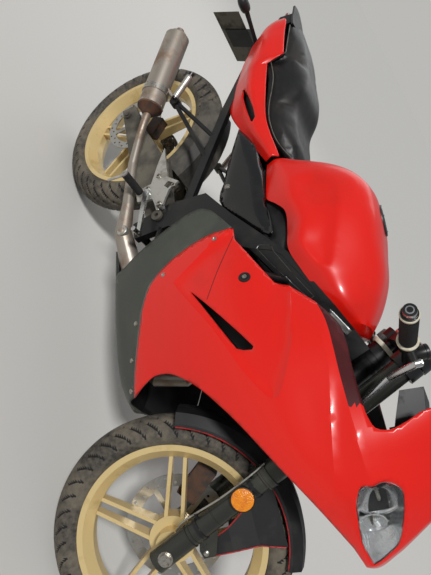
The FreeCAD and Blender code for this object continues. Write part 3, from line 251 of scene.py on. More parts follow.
def outward(skin, u, v):
    return (skin(u + 1, v) - skin(u - 1, v)).cross(skin(u, v + 1) - skin(u, v - 1)).normalized()


def panel(skin, border, holes, folds, sink, step):
    """Triangles over a skin inside a border and outside its holes, with edges along the folds. sink tells how
    far a skin point is set in. Returns the points, the faces and each face's middle on the skin."""
    places, edges, kept = [], [], []
    for line, closed in [(border, True)] + [(hole, True) for hole in holes] + [(fold, False) for fold in folds]:
        first = len(places)
        places += line
        edges += [(i, i + 1) for i in range(first, len(places) - 1)] + ([(len(places) - 1, first)] if closed else [])
        kept.append(line + line[:1] if closed else line)
    us, vs = [p[0] for p in border], [p[1] for p in border]
    rows = int((max(vs) - min(vs)) / step)
    for row in range(rows):
        v = min(vs) + step * (row + 0.5)
        u = min(us) + step * (0.5 if row % 2 else 1.0)
        while u < max(us):
            spot = (u, v)
            if (inside(spot, border) and not any(inside(spot, hole) for hole in holes)
                    and all(away(spot, line) > step * 0.4 for line in kept)):
                places.append(spot)
            u += step
    flat, _, faces, *_ = delaunay_2d_cdt([Vector(p) for p in places], edges, [], 0, 0.01)
    shown, middles = [], []
    for face in faces:
        centre = sum((flat[i] for i in face), Vector((0, 0))) / len(face)
        if inside(tuple(centre), border) and not any(inside(tuple(centre), hole) for hole in holes):
            shown.append(tuple(face))
            middles.append(skin(*centre))
    points = []
    for u, v in flat:
        point = skin(u, v)
        deep = sink(point.x, point.z)
        points.append(point - outward(skin, u, v) * deep if deep else point)
    return points, shown, middles


def piece(name, points, faces, body, finishes, place=machine, marks=None, corner=38):
    """One mesh object in metres from points in millimetres, riding on a body. marks give each face's finish."""
    mesh = bpy.data.meshes.new(name)
    mesh.from_pydata([tuple(p) for p in points], [], faces)
    for finish in finishes:
        mesh.materials.append(finish)
    if marks:
        mesh.polygons.foreach_set("material_index", marks)
    mesh.transform(place)
    work = bmesh.new()
    work.from_mesh(mesh)
    bmesh.ops.remove_doubles(work, verts=work.verts, dist=1e-5)
    if marks is None:
        bmesh.ops.recalc_face_normals(work, faces=work.faces)
    work.to_mesh(mesh)
    work.free()
    mesh.shade_smooth()
    mesh.set_sharp_from_angle(angle=radians(corner))
    made = bpy.data.objects.new(name, mesh)
    bpy.context.scene.collection.objects.link(made)
    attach(made, body)
    return made


def mirrored(points):
    return [(p[0], -p[1], p[2]) for p in points]


def shell(made, thick, inner):
    """Gives a skin its thickness, inwards, with another finish inside."""
    wall = made.modifiers.new("wall", "SOLIDIFY")
    wall.thickness = thick / 1000
    wall.offset = -1
    wall.material_offset = inner
    return made


# Red two-pack paint: pure colour under a hard clear coat that mirrors the sky, with fine dust that dulls it in patches
lacquer_red = surface("red_lacquered_abs", "#dc1608", "#cf1709", 0.25, 260, 0.32, 0.4, 2.5, 0.01,
                      Coat_Weight=0.35, Coat_Roughness=0.14, Specular_IOR_Level=0.35)
# The same moulding at the cockpit's lip: a dull dark red that is painted shade
shaded_lip_red = surface("painted_shade_lip_red", "#420c10", "#561114", 0.4, 90, 0.45, 0.6, 2.0, 0.03, Specular_IOR_Level=0.3)
# Moulded black polypropylene: sheenless, with a fine spark-eroded grain and grey dust
black_plastic = surface("black_moulded_polypropylene", "#101011", "#201f1d", 0.3, 80, 0.5, 0.7, 0.9, 0.12)

SEAM_LINE = [(700, 640), (700, 575), (712, 515), (736, 455), (775, 396), (832, 366), (900, 348), (980, 325),
             (1052, 302)]
WHEEL_EDGE = [(1040, 340), (1030, 380), (1039, 421), (1080, 482), (1165, 557), (1296, 643), (1401, 706), (1452, 732)]
NOSE_FOOT, NOSE_TOP = (1490, 738), (1490, 905)
SCREEN_EDGE = [(1404, 912), (1310, 960), (1238, 968)]
COCKPIT_EDGE = [(1238, 968), (1244, 940), (1258, 905), (1268, 868), (1262, 848), (1240, 840), (1203, 838), (1130, 838),
                (1061, 838), (1030, 832), (1004, 818), (968, 796)]
BEAM_EDGE = [(968, 796), (938, 770), (907, 742), (892, 720), (814, 680), (735, 640), (700, 640)]
SLOT = [(854, 511), (904, 549), (955, 586), (1010, 624), (1050, 650), (1057, 646), (1053, 626), (1045, 611),
        (1000, 588), (950, 562), (900, 536)]
CREASE = [(913, 750), (983, 744), (1059, 733), (1123, 708), (1161, 688), (1171, 678), (1172, 669), (1160, 656),
          (1143, 644), (1094, 615), (1040, 592), (962, 553), (893, 512), (856, 490), (816, 470), (702, 632)]
RECESS = CREASE + [(680, 640), (690, 700), (780, 720), (880, 765)]
RECESS_DEEP = 9.0
LIP = [(968, 796), (1010, 806), (1055, 811), (1171, 811), (1240, 812), (1282, 816), (1306, 834), (1310, 862),
       (1300, 900), (1284, 936), (1268, 962)]
SHOULDER = [(1020, 796), (1062, 797), (1112, 795), (1198, 779), (1274, 761), (1327, 748), (1377, 736)]
LAMP = [(-26, 757), (-50, 754), (-74, 752), (-106, 759), (-138, 771), (-150, 785), (-144, 810), (-132, 836),
        (-118, 849), (-100, 858), (-80, 850), (-60, 838), (-30, 815), (-26, 786)]


def on_cheek(y, z):
    """The flat pattern's point at a width and height of the front."""
    low, high = 3 * STRETCH, NOSE
    for _ in range(26):
        middle = (low + high) / 2
        if form_skin(middle, z).y < y:
            low = middle
        else:
            high = middle
    return low, z


SHOULDER_X, SHOULDER_Z = zip(*SHOULDER)


def recess(x, z):
    """How far the fairing is set in: sharp at the crease, then a soft slope to the sunk panel, and a little
    above the crease along the shoulder."""
    if not inside((x, z), RECESS):
        over = z - curve(SHOULDER_X, SHOULDER_Z, x) if SHOULDER_X[0] < x < SHOULDER_X[-1] else 0.0
        if over <= 0:
            return 0.0
        return 4.5 * (1 - exp(-over / 9)) * min(1.0, (x - SHOULDER_X[0]) / 60, (SHOULDER_X[-1] - x) / 60)
    from_crease = away((x, z), CREASE)
    deep = RECESS_DEEP * (1 - exp(-from_crease * 0.95 / RECESS_DEEP))
    over = (z - 727) - (x - 904) * (673 - 727) / (1024 - 904)
    if over > 0:
        deep -= 3.5 * (1 - exp(-over / 7)) * min(1.0, max(0.0, (1060 - x) / 90)) * min(1.0, max(0.0, (x - 880) / 30))
    return deep


nose_line = [on_form(*NOSE_FOOT), on_form(1490, 780), on_form(1490, 850), on_form(*NOSE_TOP)]
seam_run, wheel_run, screen_run, cockpit_run = (
    [on_form(*p) for p in dense(line, 9)] for line in (SEAM_LINE, WHEEL_EDGE, SCREEN_EDGE, COCKPIT_EDGE))
beam_run = [on_form(*p) for p in straight(BEAM_EDGE, 9)]
fairing_border = seam_run + wheel_run + dense(nose_line, 9) + screen_run + cockpit_run[1:] + beam_run[1:-1]
slot_border = [on_form(*p) for p in straight(SLOT + SLOT[:1], 8)[:-1]]
lamp_border = [on_cheek(*p) for p in dense(LAMP + LAMP[:1], 8)[:-1]]
crease_line = [on_form(*p) for p in dense(CREASE, 8)[1:-2]]
shoulder_line = [on_form(*p) for p in dense(SHOULDER, 8)[:-1]]
lip_line = [on_form(*p) for p in dense(LIP, 8)[1:-1]]
beside_crease = [on_form(x + (1050 - x) * 4.5 / hypot(1050 - x, 690 - z), z + (690 - z) * 4.5 / hypot(1050 - x, 690 - z))
                 for x, z in dense(CREASE[:-3], 8)[2:-2]]
fairing_points, fairing_faces, fairing_middles = panel(
    form_skin, fairing_border, [slot_border, lamp_border], [crease_line, beside_crease, shoulder_line, lip_line], recess, 8.5)
# The lip's lower part, whose faces take the dark red of painted shade
shaded_lip_area = LIP[:4] + [(1215, 812), (1215, 845), (1000, 860), (960, 830)]
fairing_marks = [2 if inside((p.x, p.z), shaded_lip_area) else 0 for p in fairing_middles]
for side, name in ((-1, "fairing_right"), (1, "fairing_left")):
    points = fairing_points if side < 0 else mirrored(fairing_points)
    faces = fairing_faces if side < 0 else [face[::-1] for face in fairing_faces]
    half = shell(piece(name + "_moulding", points, faces, "chassis",
                       [lacquer_red, black_plastic, shaded_lip_red, black_plastic], marks=fairing_marks, corner=15), 4, 1)
    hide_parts(name)

# Slots and fixings of the fairing: a black pocket behind each slot as painted shade inside the opening, the
# saw-cut seam of the panel above it, drawn as a near-black line of painted shade, and the bolt that draws the
# panel to the frame's stay through a rubber bush.
SEAM_GROOVE = [(723, 638), (800, 601), (897, 555)]
STAY_BOLT = (866, 655)


def on_panel(x, z, deep=0.0):
    """A point of the fairing's real surface, or below it."""
    u, v = on_form(x, z)
    return form_skin(u, v) - outward(form_skin, u, v) * (recess(x, z) + deep)


def sweep(line, radius, sides=10):
    """Points and faces of a round tube along a line. The radius is one number, or one for each point."""
    line = [Vector(p) for p in line]
    radii = radius if isinstance(radius, (list, tuple)) else [radius] * len(line)
    points, faces, normal = [], [], None
    for i, centre in enumerate(line):
        along = (line[min(i + 1, len(line) - 1)] - line[max(i - 1, 0)]).normalized()
        normal = along.orthogonal() if normal is None else normal - along * normal.dot(along)
        normal.normalize()
        beside = along.cross(normal)
        for k in range(sides):
            turn = 2 * pi * k / sides
            points.append(centre + (normal * cos(turn) + beside * sin(turn)) * radii[i])
    for i in range(len(line) - 1):
        for k in range(sides):
            a, b = i * sides + k, i * sides + (k + 1) % sides
            faces.append((a, b, b + sides, a + sides))
    return points, faces + [tuple(range(sides))[::-1], tuple(range(len(points) - sides, len(points)))]


def lathe(profile, centre, axis, steps=32):
    """Points and faces of (radius, distance along the axis) pairs turned about an axis."""
    axis = Vector(axis).normalized()
    side = axis.orthogonal().normalized()
    beside = axis.cross(side)
    points, faces = [], []
    for radius, along in profile:
        for k in range(steps):
            turn = 2 * pi * k / steps
            points.append(Vector(centre) + axis * along + (side * cos(turn) + beside * sin(turn)) * radius)
    for i in range(len(profile) - 1):
        for k in range(steps):
            a, b = i * steps + k, i * steps + (k + 1) % steps
            faces.append((a, b, b + steps, a + steps))
    return points, faces


def joined(*parts):
    """Several meshes' points and faces as one."""
    points, faces = [], []
    for more, polygons in parts:
        faces += [tuple(i + len(points) for i in face) for face in polygons]
        points += [Vector(p) for p in more]
    return points, faces


def both(name, parts, body, finish, **how):
    """A piece on the right and its mirror image on the left."""
    points, faces = parts
    made = [piece(name + "_right", points, faces, body, [finish], **how),
            piece(name + "_left", mirrored(points), [f[::-1] for f in faces], body, [finish], **how)]
    return made


# The pocket behind the slot is black to paint the shade inside the opening
slot_mouth = [on_panel(x, z, 3.6) for x, z in straight(SLOT + SLOT[:1], 8)[:-1]]
slot_back = [p + Vector((-14, 46, -6)) for p in slot_mouth]
count = len(slot_mouth)
slot_shade_pocket = (slot_mouth + slot_back,
        [(i, (i + 1) % count, (i + 1) % count + count, i + count) for i in range(count)] + [tuple(range(count, 2 * count))])
both("slot_shade_liner", slot_shade_pocket, "chassis", black_plastic)
# Black rubber, and the painted shade of grooves: near black, no shine
rubber_and_groove_shade = surface("black_rubber_and_groove_shade", "#0c0c0c", "#1d1c1b", 0.4, 20, 0.8, 0.9, 0.8, 0.05)
# The seam's groove is drawn as a near-black line of painted shade
groove = [on_panel(x, z, 0.2) for x, z in dense(SEAM_GROOVE, 6)]
both("panel_seam", sweep(groove, 0.9, 6), "chassis", rubber_and_groove_shade)
bolt_u, bolt_v = on_form(*STAY_BOLT)
bolt_axis = outward(form_skin, bolt_u, bolt_v)
bolt_at = on_panel(*STAY_BOLT)
bush = lathe([(7, -1), (7, 2.2), (9, 3.4), (12, 3.4), (14, 2), (14.5, -1)], bolt_at, bolt_axis)
both("stay_bush", bush, "chassis", rubber_and_groove_shade)
# Zinc-plated steel: pale grey, scratched, with brown rust at the edges
zinc_steel = surface("zinc_plated_steel", "#b9b6ae", "#7a6654", 0.35, 6, 0.32, 0.6, 0.5, 0.03, Metallic=1.0)
bolt = lathe([(0, 2.2), (3, 2.2), (3.4, 4.2), (5.8, 4.2), (6.2, 3.2), (6.2, 0)], bolt_at, bolt_axis, 24)
both("stay_bolt", bolt, "chassis", zinc_steel)

# Belly pan: one polypropylene moulding left in its own grey, screwed under the fairing, its lower edge
# scuffed white by stones and kerbs.
BELLY_REAR = [(700, 638), (640, 604), (604, 580), (583, 552), (581, 520), (592, 480), (622, 396), (648, 330),
              (664, 262), (660, 245), (610, 241), (557, 238)]
BELLY_FRONT = [(1052, 301), (1042, 262), (1030, 215)]
grey_plastic = surface("grey_moulded_polypropylene", "#3a3d36", "#484a42", 0.35, 160, 0.46, 0.6, 0.9, 0.1)
tree = grey_plastic.node_tree
shader = tree.nodes["Principled BSDF"]
place = add(tree, "ShaderNodeTexCoord").outputs["Object"]
# Scuffs: white streaks of 2 to 20 mm that run along the machine, only on its lowest 120 mm
stretched = add(tree, "ShaderNodeMapping", {"Scale": (25, 90, 260)}, {"Vector": place})
streaks = add(tree, "ShaderNodeTexNoise", {"Scale": 1.0, "Detail": 4, "Roughness": 0.7}, {"Vector": stretched.outputs["Vector"]})
height = add(tree, "ShaderNodeSeparateXYZ", {}, {"Vector": place})
low = add(tree, "ShaderNodeMapRange", {"From Min": 0.34, "From Max": 0.22, "To Min": 0.0, "To Max": 0.15}, {"Value": height.outputs["Z"]})
level = add(tree, "ShaderNodeMath", {"operation": "ADD"}, {0: streaks.outputs["Fac"], 1: low.outputs["Result"]})
scuff = add(tree, "ShaderNodeValToRGB", {"stops": ((0.72, BLACK), (0.78, WHITE))}, {"Fac": level.outputs["Value"]})
own = shader.inputs["Base Color"].links[0].from_socket
scuffed = add(tree, "ShaderNodeMixRGB", {"Color2": linear("#a9a79e")}, {"Fac": scuff.outputs["Color"], "Color1": own})
tree.links.new(scuffed.outputs["Color"], shader.inputs["Base Color"])

belly_seam = [on_form(x - 1.5, z - 1.5) for x, z in dense(SEAM_LINE, 9)]
front_run, rear_run = ([on_form(*p) for p in dense(line, 9)] for line in (BELLY_FRONT, BELLY_REAR))
keel = [on_form(*p) for p in dense([(1028, 213.2), (960, 213.2), (760, 213.2), (557, 213.2)], 9)]
belly_border = belly_seam + front_run[1:] + keel + [on_form(557, 226)] + rear_run[::-1][:-1]
flank_points, flank_faces, _ = panel(form_skin, belly_border, [], [], lambda x, z: 0.0, 8.5)
floor_rows = [form_skin(*on_form(x, 213.2)) for x in range(557, 1026, 12)]
floor_points = [Vector((p.x, p.y * k / 4, p.z)) for p in floor_rows for k in range(4, -5, -1)]
floor_faces = [(i * 9 + k, i * 9 + k + 1, i * 9 + k + 10, i * 9 + k + 9)
               for i in range(len(floor_rows) - 1) for k in range(8)]
belly = joined((flank_points, flank_faces), (mirrored(flank_points), [f[::-1] for f in flank_faces]),
               (floor_points, floor_faces))
pan = shell(piece("belly_moulding", *belly, "chassis", [grey_plastic, black_plastic], corner=50,
                  marks=[0] * len(belly[1])), 4, 1)
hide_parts("belly_pan")
screws = []
for x, z in ((722, 590), (770, 436), (872, 338), (962, 312), (1032, 294)):
    u, v = on_form(x, z)
    screws.append(lathe([(0, 1.6), (2.4, 1.8), (3.2, 2.6), (6.4, 1.4), (6.8, -0.4)], form_skin(u, v),
                        outward(form_skin, u, v), 16))
both("belly_screws", joined(*screws), "chassis", zinc_steel)

# Fuel tank: pressed and seam-welded sheet steel in the same red, with a knee hollow under a crease each side
# and a flush filler cap, resting on the two beams.
TANK = (       # x, then half width and height at the skirt, knee and shoulder, then the crown's height
    (452, (108, 742), (118, 772), (96, 806), 812), (525, (128, 734), (140, 800), (104, 905), 924),
    (606, (138, 726), (160, 812), (120, 950), 985), (700, (140, 752), (172, 826), (124, 946), 988),
    (786, (150, 744), (168, 812), (114, 930), 970), (872, (130, 774), (137, 842), (88, 916), 948),
    (945, (96, 806), (102, 852), (64, 892), 910), (985, (50, 832), (54, 864), (34, 876), 882),
)
TANK_FOOT = ((452, 738), (525, 731), (592, 725), (625, 748), (657, 767), (721, 764), (784, 756), (840, 772),
             (912, 800), (985, 838))
KNEE_CREASE = [(596, 918), (640, 908), (683, 903), (743, 887), (788, 870), (832, 854), (858, 838), (846, 818),
               (817, 803), (788, 795), (740, 788)]
KNEE_OPEN = [(740, 788), (640, 780), (560, 800), (540, 860), (596, 918)]
KNEE_HOLLOW = KNEE_CREASE + KNEE_OPEN[1:-1]
STATIONS = [row[0] for row in TANK]
FOOT_X, FOOT_Z = zip(*TANK_FOOT)


def tank_side(x, t):
    """Half width and height at a share of the way from the skirt over the knee and shoulder to the crown."""
    knots = [0.0, 1.0, 2.0, 3.0, 4.0]
    rows = [[row[k][part] for row in TANK] for k in (1, 2, 3) for part in (0, 1)]
    y0, z0, y1, z1, y2, z2 = (curve(STATIONS, values, x) for values in rows)
    crown = curve(STATIONS, [row[4] for row in TANK], x)
    return (curve(knots, [y0, y1, y2, y2 * 0.45, -y2 * 0.45], t), curve(knots, [z0, z1, z2, crown, crown], t))


def knee(x, z):
    if not inside((x, z), KNEE_HOLLOW):
        return 0.0
    fade = min(1.0, away((x, z), KNEE_OPEN) / 70)
    return 12 * (1 - exp(-away((x, z), KNEE_CREASE) * 0.8 / 12)) * fade * fade * (3 - 2 * fade)


tank_rows = []
for x in [452 + 533 * i / 96 for i in range(97)]:
    foot = curve(FOOT_X, FOOT_Z, x)
    low, high = 0.0, 2.4
    for _ in range(20):
        middle = (low + high) / 2
        low, high = (middle, high) if tank_side(x, middle)[1] < foot else (low, middle)
    half = []
    for i in range(41):
        y, z = tank_side(x, low + (3.5 - low) * i / 40)
        deep = knee(x, z)
        half.append(Vector((x, -y + deep, z - deep * 0.15)))
    half[-1].y = 0.0
    tank_rows.append(half + [Vector((p.x, -p.y, p.z)) for p in half[-2::-1]])


def skin_of(rows, closed_ends=True):
    """Points and faces of a sheet through rows of points, with flat ends."""
    wide = len(rows[0])
    faces = [(i * wide + k, (i + 1) * wide + k, (i + 1) * wide + k + 1, i * wide + k + 1)
             for i in range(len(rows) - 1) for k in range(wide - 1)]
    points = [p for row in rows for p in row]
    if closed_ends:
        faces += [tuple(range(wide)), tuple(range(len(points) - 1, len(points) - wide - 1, -1))]
    return points, faces


tank = piece("tank_shell", *skin_of(tank_rows), "chassis", [lacquer_red], corner=45)
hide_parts("fuel_tank")
# The cap lies along the crown, which falls by CAP_FALL towards the bars
CAP_FALL = 0.105
cap_at, cap_axis = Vector((690, 0, 987.5)), Vector((CAP_FALL, 0, 1))
cap_ring = lathe([(44, -4), (44, 4), (42, 7), (36, 7.5), (35, 6), (35, 2)], cap_at, cap_axis, 48)
cap_lid = lathe([(34, 2), (34, 7), (32.5, 8), (12, 8.6), (11, 7), (0, 7)], cap_at, cap_axis, 48)
cap_screws = [lathe([(0, 8.4), (2, 8.6), (2.6, 7.4)], cap_at + Vector((39.5 * cos(a), 39.5 * sin(a), -CAP_FALL * 39.5 * cos(a))),
                    cap_axis, 12)
              for a in (radians(72 * k) for k in range(5))]
cap = piece("filler_cap", *joined(cap_ring, cap_lid, *cap_screws), "chassis", [satin_black_paint])

# Under the tank's edge: a black sheet each side, set in behind the skirt and turned out to meet the side
# cover, that stands as painted shade in the gap between the tank and the beams, and a rubber buffer between the
# tank's rear and the seat.
TANK_GAP_SHEETS = (      # x, the tank's half width there, then the shade sheet's upper and lower edges
    (456, 108, 741, 712), (525, 128, 735, 706), (592, 136, 731, 702), (625, 142, 754, 700), (657, 146, 773, 702),
    (700, 146, 774, 706), (740, 150, 771, 722), (782, 150, 765, 750),
)
COVER_END = 640
gap_sheet_rows = []
for x, wide_, top, low in TANK_GAP_SHEETS:
    lip_y = 141 if x < COVER_END else wide_ - 14
    gap_sheet_rows.append([Vector((x, -wide_ + 10, top)), Vector((x, -wide_ + 18, low)), Vector((x, -lip_y, low - 2))])
# Each sheet is black as painted shade under the tank's edge
for guard in both("tank_gap_shade_sheet", skin_of(gap_sheet_rows, closed_ends=False), "chassis", black_plastic):
    shell(guard, 2, 0)
BUFFER = [(-105, 746), (-114, 772), (-92, 802), (-43, 807), (43, 807), (92, 802), (114, 772), (105, 746), (-105, 746)]
buffer_rows = [[Vector((x, y, z)) for y, z in BUFFER] for x in (447.2, 450.8)]
piece("tank_rear_buffer", *skin_of(buffer_rows), "chassis", [black_plastic])

# Tail cowl: ABS moulding in the same red round the seat's rear, with a ridge along each flank, a low vent
# and a step up behind the rider's place.
TAIL = (       # x, then half width and height at the lower edge, the flank and the upper edge
    (446, (118, 742), (130, 765), (118, 784)), (300, (120, 690), (148, 735), (134, 776)),
    (177, (112, 664), (152, 745), (138, 798)), (74, (105, 697), (147, 770), (134, 820)),
    (56, (103, 704), (145, 780), (130, 876)), (-60, (88, 754), (126, 832), (116, 898)),
    (-142, (68, 806), (102, 852), (98, 912)), (-172, (46, 846), (84, 868), (82, 906)),
)
TAIL_X = [row[0] for row in TAIL][::-1]
VENT = [(148, 727), (205, 741), (252, 748), (290, 747), (304, 735), (298, 729), (240, 722), (180, 719)]


def tail_skin(u, t):
    """A point of the cowl's right flank: u is the distance along the machine, t from its lower to its upper edge."""
    x = u - 172
    rows = [[row[k][part] for row in TAIL][::-1] for k in (1, 2, 3) for part in (0, 1)]
    y0, z0, y1, z1, y2, z2 = (curve(TAIL_X, values, x, (56, 74)) for values in rows)
    knots = [0.0, 70.0, 140.0]
    return Vector((x, -curve(knots, [y0, y1, y2], t), curve(knots, [z0, z1, z2], t)))


def on_tail(x, z):
    low, high = 0.0, 140.0
    for _ in range(22):
        middle = (low + high) / 2
        low, high = (middle, high) if tail_skin(x + 172, middle).z < z else (low, middle)
    return x + 172, low


def tail_crease(x, z):
    """The flank is set in under its ridge, most at the middle of the cowl."""
    ridge = curve([-172, -90, 16, 153, 261, 370, 446], [868, 812, 770, 748, 757, 768, 764], x)
    below = ridge - z
    return 0.0 if below < 0 else 6 * (1 - exp(-below / 9)) * max(0.0, 1 - abs(x - 130) / 330)


tail_border = (straight([(0, 0), (618, 0)], 9)[:-1] + straight([(618, 0), (618, 140)], 14)[:-1]
               + straight([(618, 140), (246, 140), (228, 140), (0, 140)], 9)[:-1]
               + straight([(0, 140), (0, 0)], 14)[:-1])
vent_border = [on_tail(*p) for p in straight(VENT + VENT[:1], 8)[:-1]]
step_folds = [straight([(228, 3), (228, 137)], 9), straight([(246, 3), (246, 137)], 9)]
flank = panel(tail_skin, tail_border, [vent_border], step_folds, tail_crease, 8)
end = [tail_skin(0, t) for t in range(0, 141, 14)]
end_face = (end + mirrored(end), [(i, i + 1, i + 12, i + 11) for i in range(10)])
cowl = joined(flank[:2], (mirrored(flank[0]), [f[::-1] for f in flank[1]]), end_face)
cowl = shell(piece("tail_moulding", *cowl, "chassis", [lacquer_red, black_plastic], corner=32,
                   marks=[0] * len(cowl[1])), 3.5, 1)
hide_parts("tail_cowl")
vent_mouth = [tail_skin(*on_tail(x, z)) + Vector((0, 3.5, 0)) for x, z in straight(VENT + VENT[:1], 8)[:-1]]
count = len(vent_mouth)
vent = (vent_mouth + [p + Vector((0, 16, 0)) for p in vent_mouth],
        [(i, (i + 1) % count, (i + 1) % count + count, i + count) for i in range(count)]
        + [tuple(range(count, 2 * count))])
both("tail_vent", vent, "chassis", black_plastic)

# Seat: moulded foam on a plastic base under black vinyl, stepped up to the passenger's pad, with a pale
# piping bead where the top panel meets the sides, and brown worn patches.
SEAT = (       # x, base half width and height, edge half width and height, crown's height
    (446, (66, 808), (58, 822), 832), (400, (102, 778), (96, 815), 838), (318, (128, 767), (122, 811), 845),
    (240, (131, 777), (116, 834), 864), (190, (131, 789), (107, 866), 899), (140, (130, 801), (104, 884), 917),
    (64, (127, 806), (103, 891), 928), (48, (122, 872), (103, 892), 930), (-40, (110, 892), (92, 920), 943),
    (-118, (93, 912), (78, 928), 949),
)
SEAT_X = [row[0] for row in SEAT][::-1]


def seat_ring(x, shrink):
    rows = [[row[1][0], row[1][1], row[2][0], row[2][1], row[3]] for row in SEAT][::-1]
    by, bz, ey, ez, top = (curve(SEAT_X, [row[k] for row in rows], x, (48, 64)) for k in range(5))
    knots = [0.0, 1.0, 1.6, 2.6, 3.2]
    ys, zs = [by, ey, ey * 0.8, ey * 0.3, 0.0], [bz, ez, top - 3 - (top - ez) * 0.1, top, top + 0.5]
    half = [Vector((x, -(curve(knots, ys, 3.2 * i / 16) - shrink), curve(knots, zs, 3.2 * i / 16) - shrink * (i / 8 - 1)))
            for i in range(17)]
    half[-1].y = 0.0
    return half + [Vector((p.x, -p.y, p.z)) for p in half[-2::-1]]


pad_xs = [-116 + 560 * i / 90 for i in range(91)]
pad_rows = [seat_ring(x, 2.0) for x in pad_xs]
pad_points, pad_faces = skin_of(pad_rows)
wide = len(pad_rows[0])
pad_faces += [(i * wide, i * wide + wide - 1, (i + 1) * wide + wide - 1, (i + 1) * wide) for i in range(len(pad_rows) - 1)]
# Vinyl over foam: a leather-like grain of 1.5 mm, soft sheen on the crown, brown and dry along the worn sides
seat_vinyl = surface("grained_black_vinyl", "#0c0c0c", "#1f1813", 0.35, 120, 0.36, 0.5, 1.5, 0.4, Sheen_Weight=0.03)
tree = seat_vinyl.node_tree
shader = tree.nodes["Principled BSDF"]
place = add(tree, "ShaderNodeTexCoord").outputs["Object"]
cells = add(tree, "ShaderNodeTexVoronoi", {"Scale": 420, "feature": "DISTANCE_TO_EDGE"}, {"Vector": place})
leather = add(tree, "ShaderNodeBump", {"Strength": 0.35, "Distance": 0.0006},
              {"Height": cells.outputs["Distance"], "Normal": shader.inputs["Normal"].links[0].from_socket})
tree.links.new(leather.outputs["Normal"], shader.inputs["Normal"])
pad = piece("seat_pad", pad_points, pad_faces, "chassis", [seat_vinyl], corner=60)
bpy.context.view_layer.objects.active = pad
pad.data.remesh_voxel_size = 0.005
bpy.ops.object.select_all(action="DESELECT")
pad.select_set(True)
bpy.ops.object.voxel_remesh()
before = [v.co.copy() for v in pad.data.vertices]
foam = pad.modifiers.new("foam", "CLOTH")
foam.settings.use_pressure = True
foam.settings.uniform_pressure_force = 4
foam.settings.effector_weights.gravity = 0
foam.point_cache.frame_start, foam.point_cache.frame_end = 1, 20
for step in range(1, 21):
    bpy.context.scene.frame_set(step)
swollen = pad.evaluated_get(bpy.context.evaluated_depsgraph_get()).data
after = [v.co.copy() for v in swollen.vertices]
pad.modifiers.clear()
bpy.context.scene.frame_set(1)
for vertex, start, end_at in zip(pad.data.vertices, before, after):
    move = end_at - start
    if move.length > 0.005:
        move = move.normalized() * 0.005
    vertex.co = start + move
smooth = pad.modifiers.new("smooth", "SMOOTH")
smooth.iterations = 4
finer = pad.modifiers.new("finer", "SUBSURF")
finer.levels = finer.render_levels = 1
pad.data.shade_smooth()
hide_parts("seat")
piping_grey = surface("grey_vinyl_piping", "#5d5a54", "#3f3b36", 0.4, 30, 0.5, 0.65, 0.8, 0.05)
bead = [p + Vector((0, -1.5, 8)) for p in (seat_ring(x, -1.0)[1] for x in pad_xs[2:-2])]
both("seat_piping", sweep(bead, 1.8, 8), "chassis", piping_grey)

# Seat tray: a thin black moulding under the pad, from flank to flank of the tail, over the battery's bay.
TRAY = ((440, 112, 772), (400, 114, 768), (318, 125, 757), (240, 129, 766), (190, 130, 779), (140, 130, 790),
        (70, 124, 797), (50, 122, 858), (-60, 108, 884), (-138, 90, 898))
tray_rows = [[Vector((x, share * wide_, z + (6 if abs(share) == 1 else 0))) for share in (-1, -0.93, 0, 0.93, 1)]
             for x, wide_, z in TRAY]
shell(piece("seat_tray", *skin_of(tray_rows, closed_ends=False), "chassis", [black_plastic]), 2.5, 0)

# Tail lamp and spoiler: a black spoiler over a lamp of red acrylic on a black housing, screwed under it.
spoiler_rows = []
for x, wide_, z in ((-124, 92, 926), (-150, 88, 930), (-190, 76, 936), (-235, 58, 943), (-268, 46, 948), (-279, 42, 949)):
    top = [Vector((x + 10 * (y * y), wide_ * y, z + 9 - 5 * y * y)) for y in (k / 8 for k in range(-8, 9))]
    under = [Vector((p.x, p.y * 0.97, p.z - 7)) for p in top[::-1]]
    spoiler_rows.append(top + under + top[:1])
spoiler = piece("tail_spoiler", *skin_of(spoiler_rows), "chassis", [black_plastic])
lamp_rows = [[Vector((x, y * w, z0 if s < 0 else z1)) for s, y in ((-1, -1), (-1, 1), (1, 0.86), (1, -0.86), (-1, -1))]
             for x, w, z0, z1 in ((-170, 66, 864, 930), (-205, 58, 878, 934), (-232, 50, 893, 936))]
housing = piece("tail_lamp_housing", *skin_of(lamp_rows), "chassis", [black_plastic])
lens_rows = []
for x, w, z0, z1 in ((-231, 47, 895, 934), (-246, 44, 900, 934), (-257, 38, 907, 932), (-261, 30, 911, 929)):
    lens_rows.append([Vector((x, w * cos(a) * (1 if abs(cos(a)) < 0.8 else 0.97), (z0 + z1) / 2 + (z1 - z0) / 2 * sin(a)))
                      for a in (radians(10 * k) for k in range(37))])
# Red acrylic: clear colour through a polished face, faint haze
red_lens = surface("red_acrylic", "#7d0a0c", "#5c0a0c", 0.3, 30, 0.12, 0.25, 3.0, 0.3, Coat_Weight=0.6)
lens = piece("tail_lens", *skin_of(lens_rows), "chassis", [red_lens])
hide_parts("tail_lamp")
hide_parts("tail_lamp")
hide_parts("tail_lamp")

# Headlamp: twin unit in the nose, a clear polycarbonate lens over each side, two aluminised bowls with ribs
# that spread the beam, bulbs of plated steel, and an aluminised box clipped in behind the opening.
def scaled(outline, amount):
    """A (width, height) outline drawn in towards its middle by about that many millimetres."""
    my, mz = (sum(p[k] for p in outline) / len(outline) for k in (0, 1))
    result = []
    for y, z in outline:
        far = hypot(y - my, z - mz)
        result.append((y + (my - y) * amount / far, z + (mz - z) * amount / far))
    return result


def cheek_point(y, z, deep):
    u, v = on_cheek(y, z)
    return form_skin(u, v) - outward(form_skin, u, v) * deep


# Clear polycarbonate, moulded: a sharp gloss outside, faint haze and fine scratches
clear_lens = surface("clear_polycarbonate", "#ffffff", "#f2f4f2", 0.3, 60, 0.02, 0.06, 1.5, 0.01,
                     Transmission_Weight=1.0, IOR=1.2)
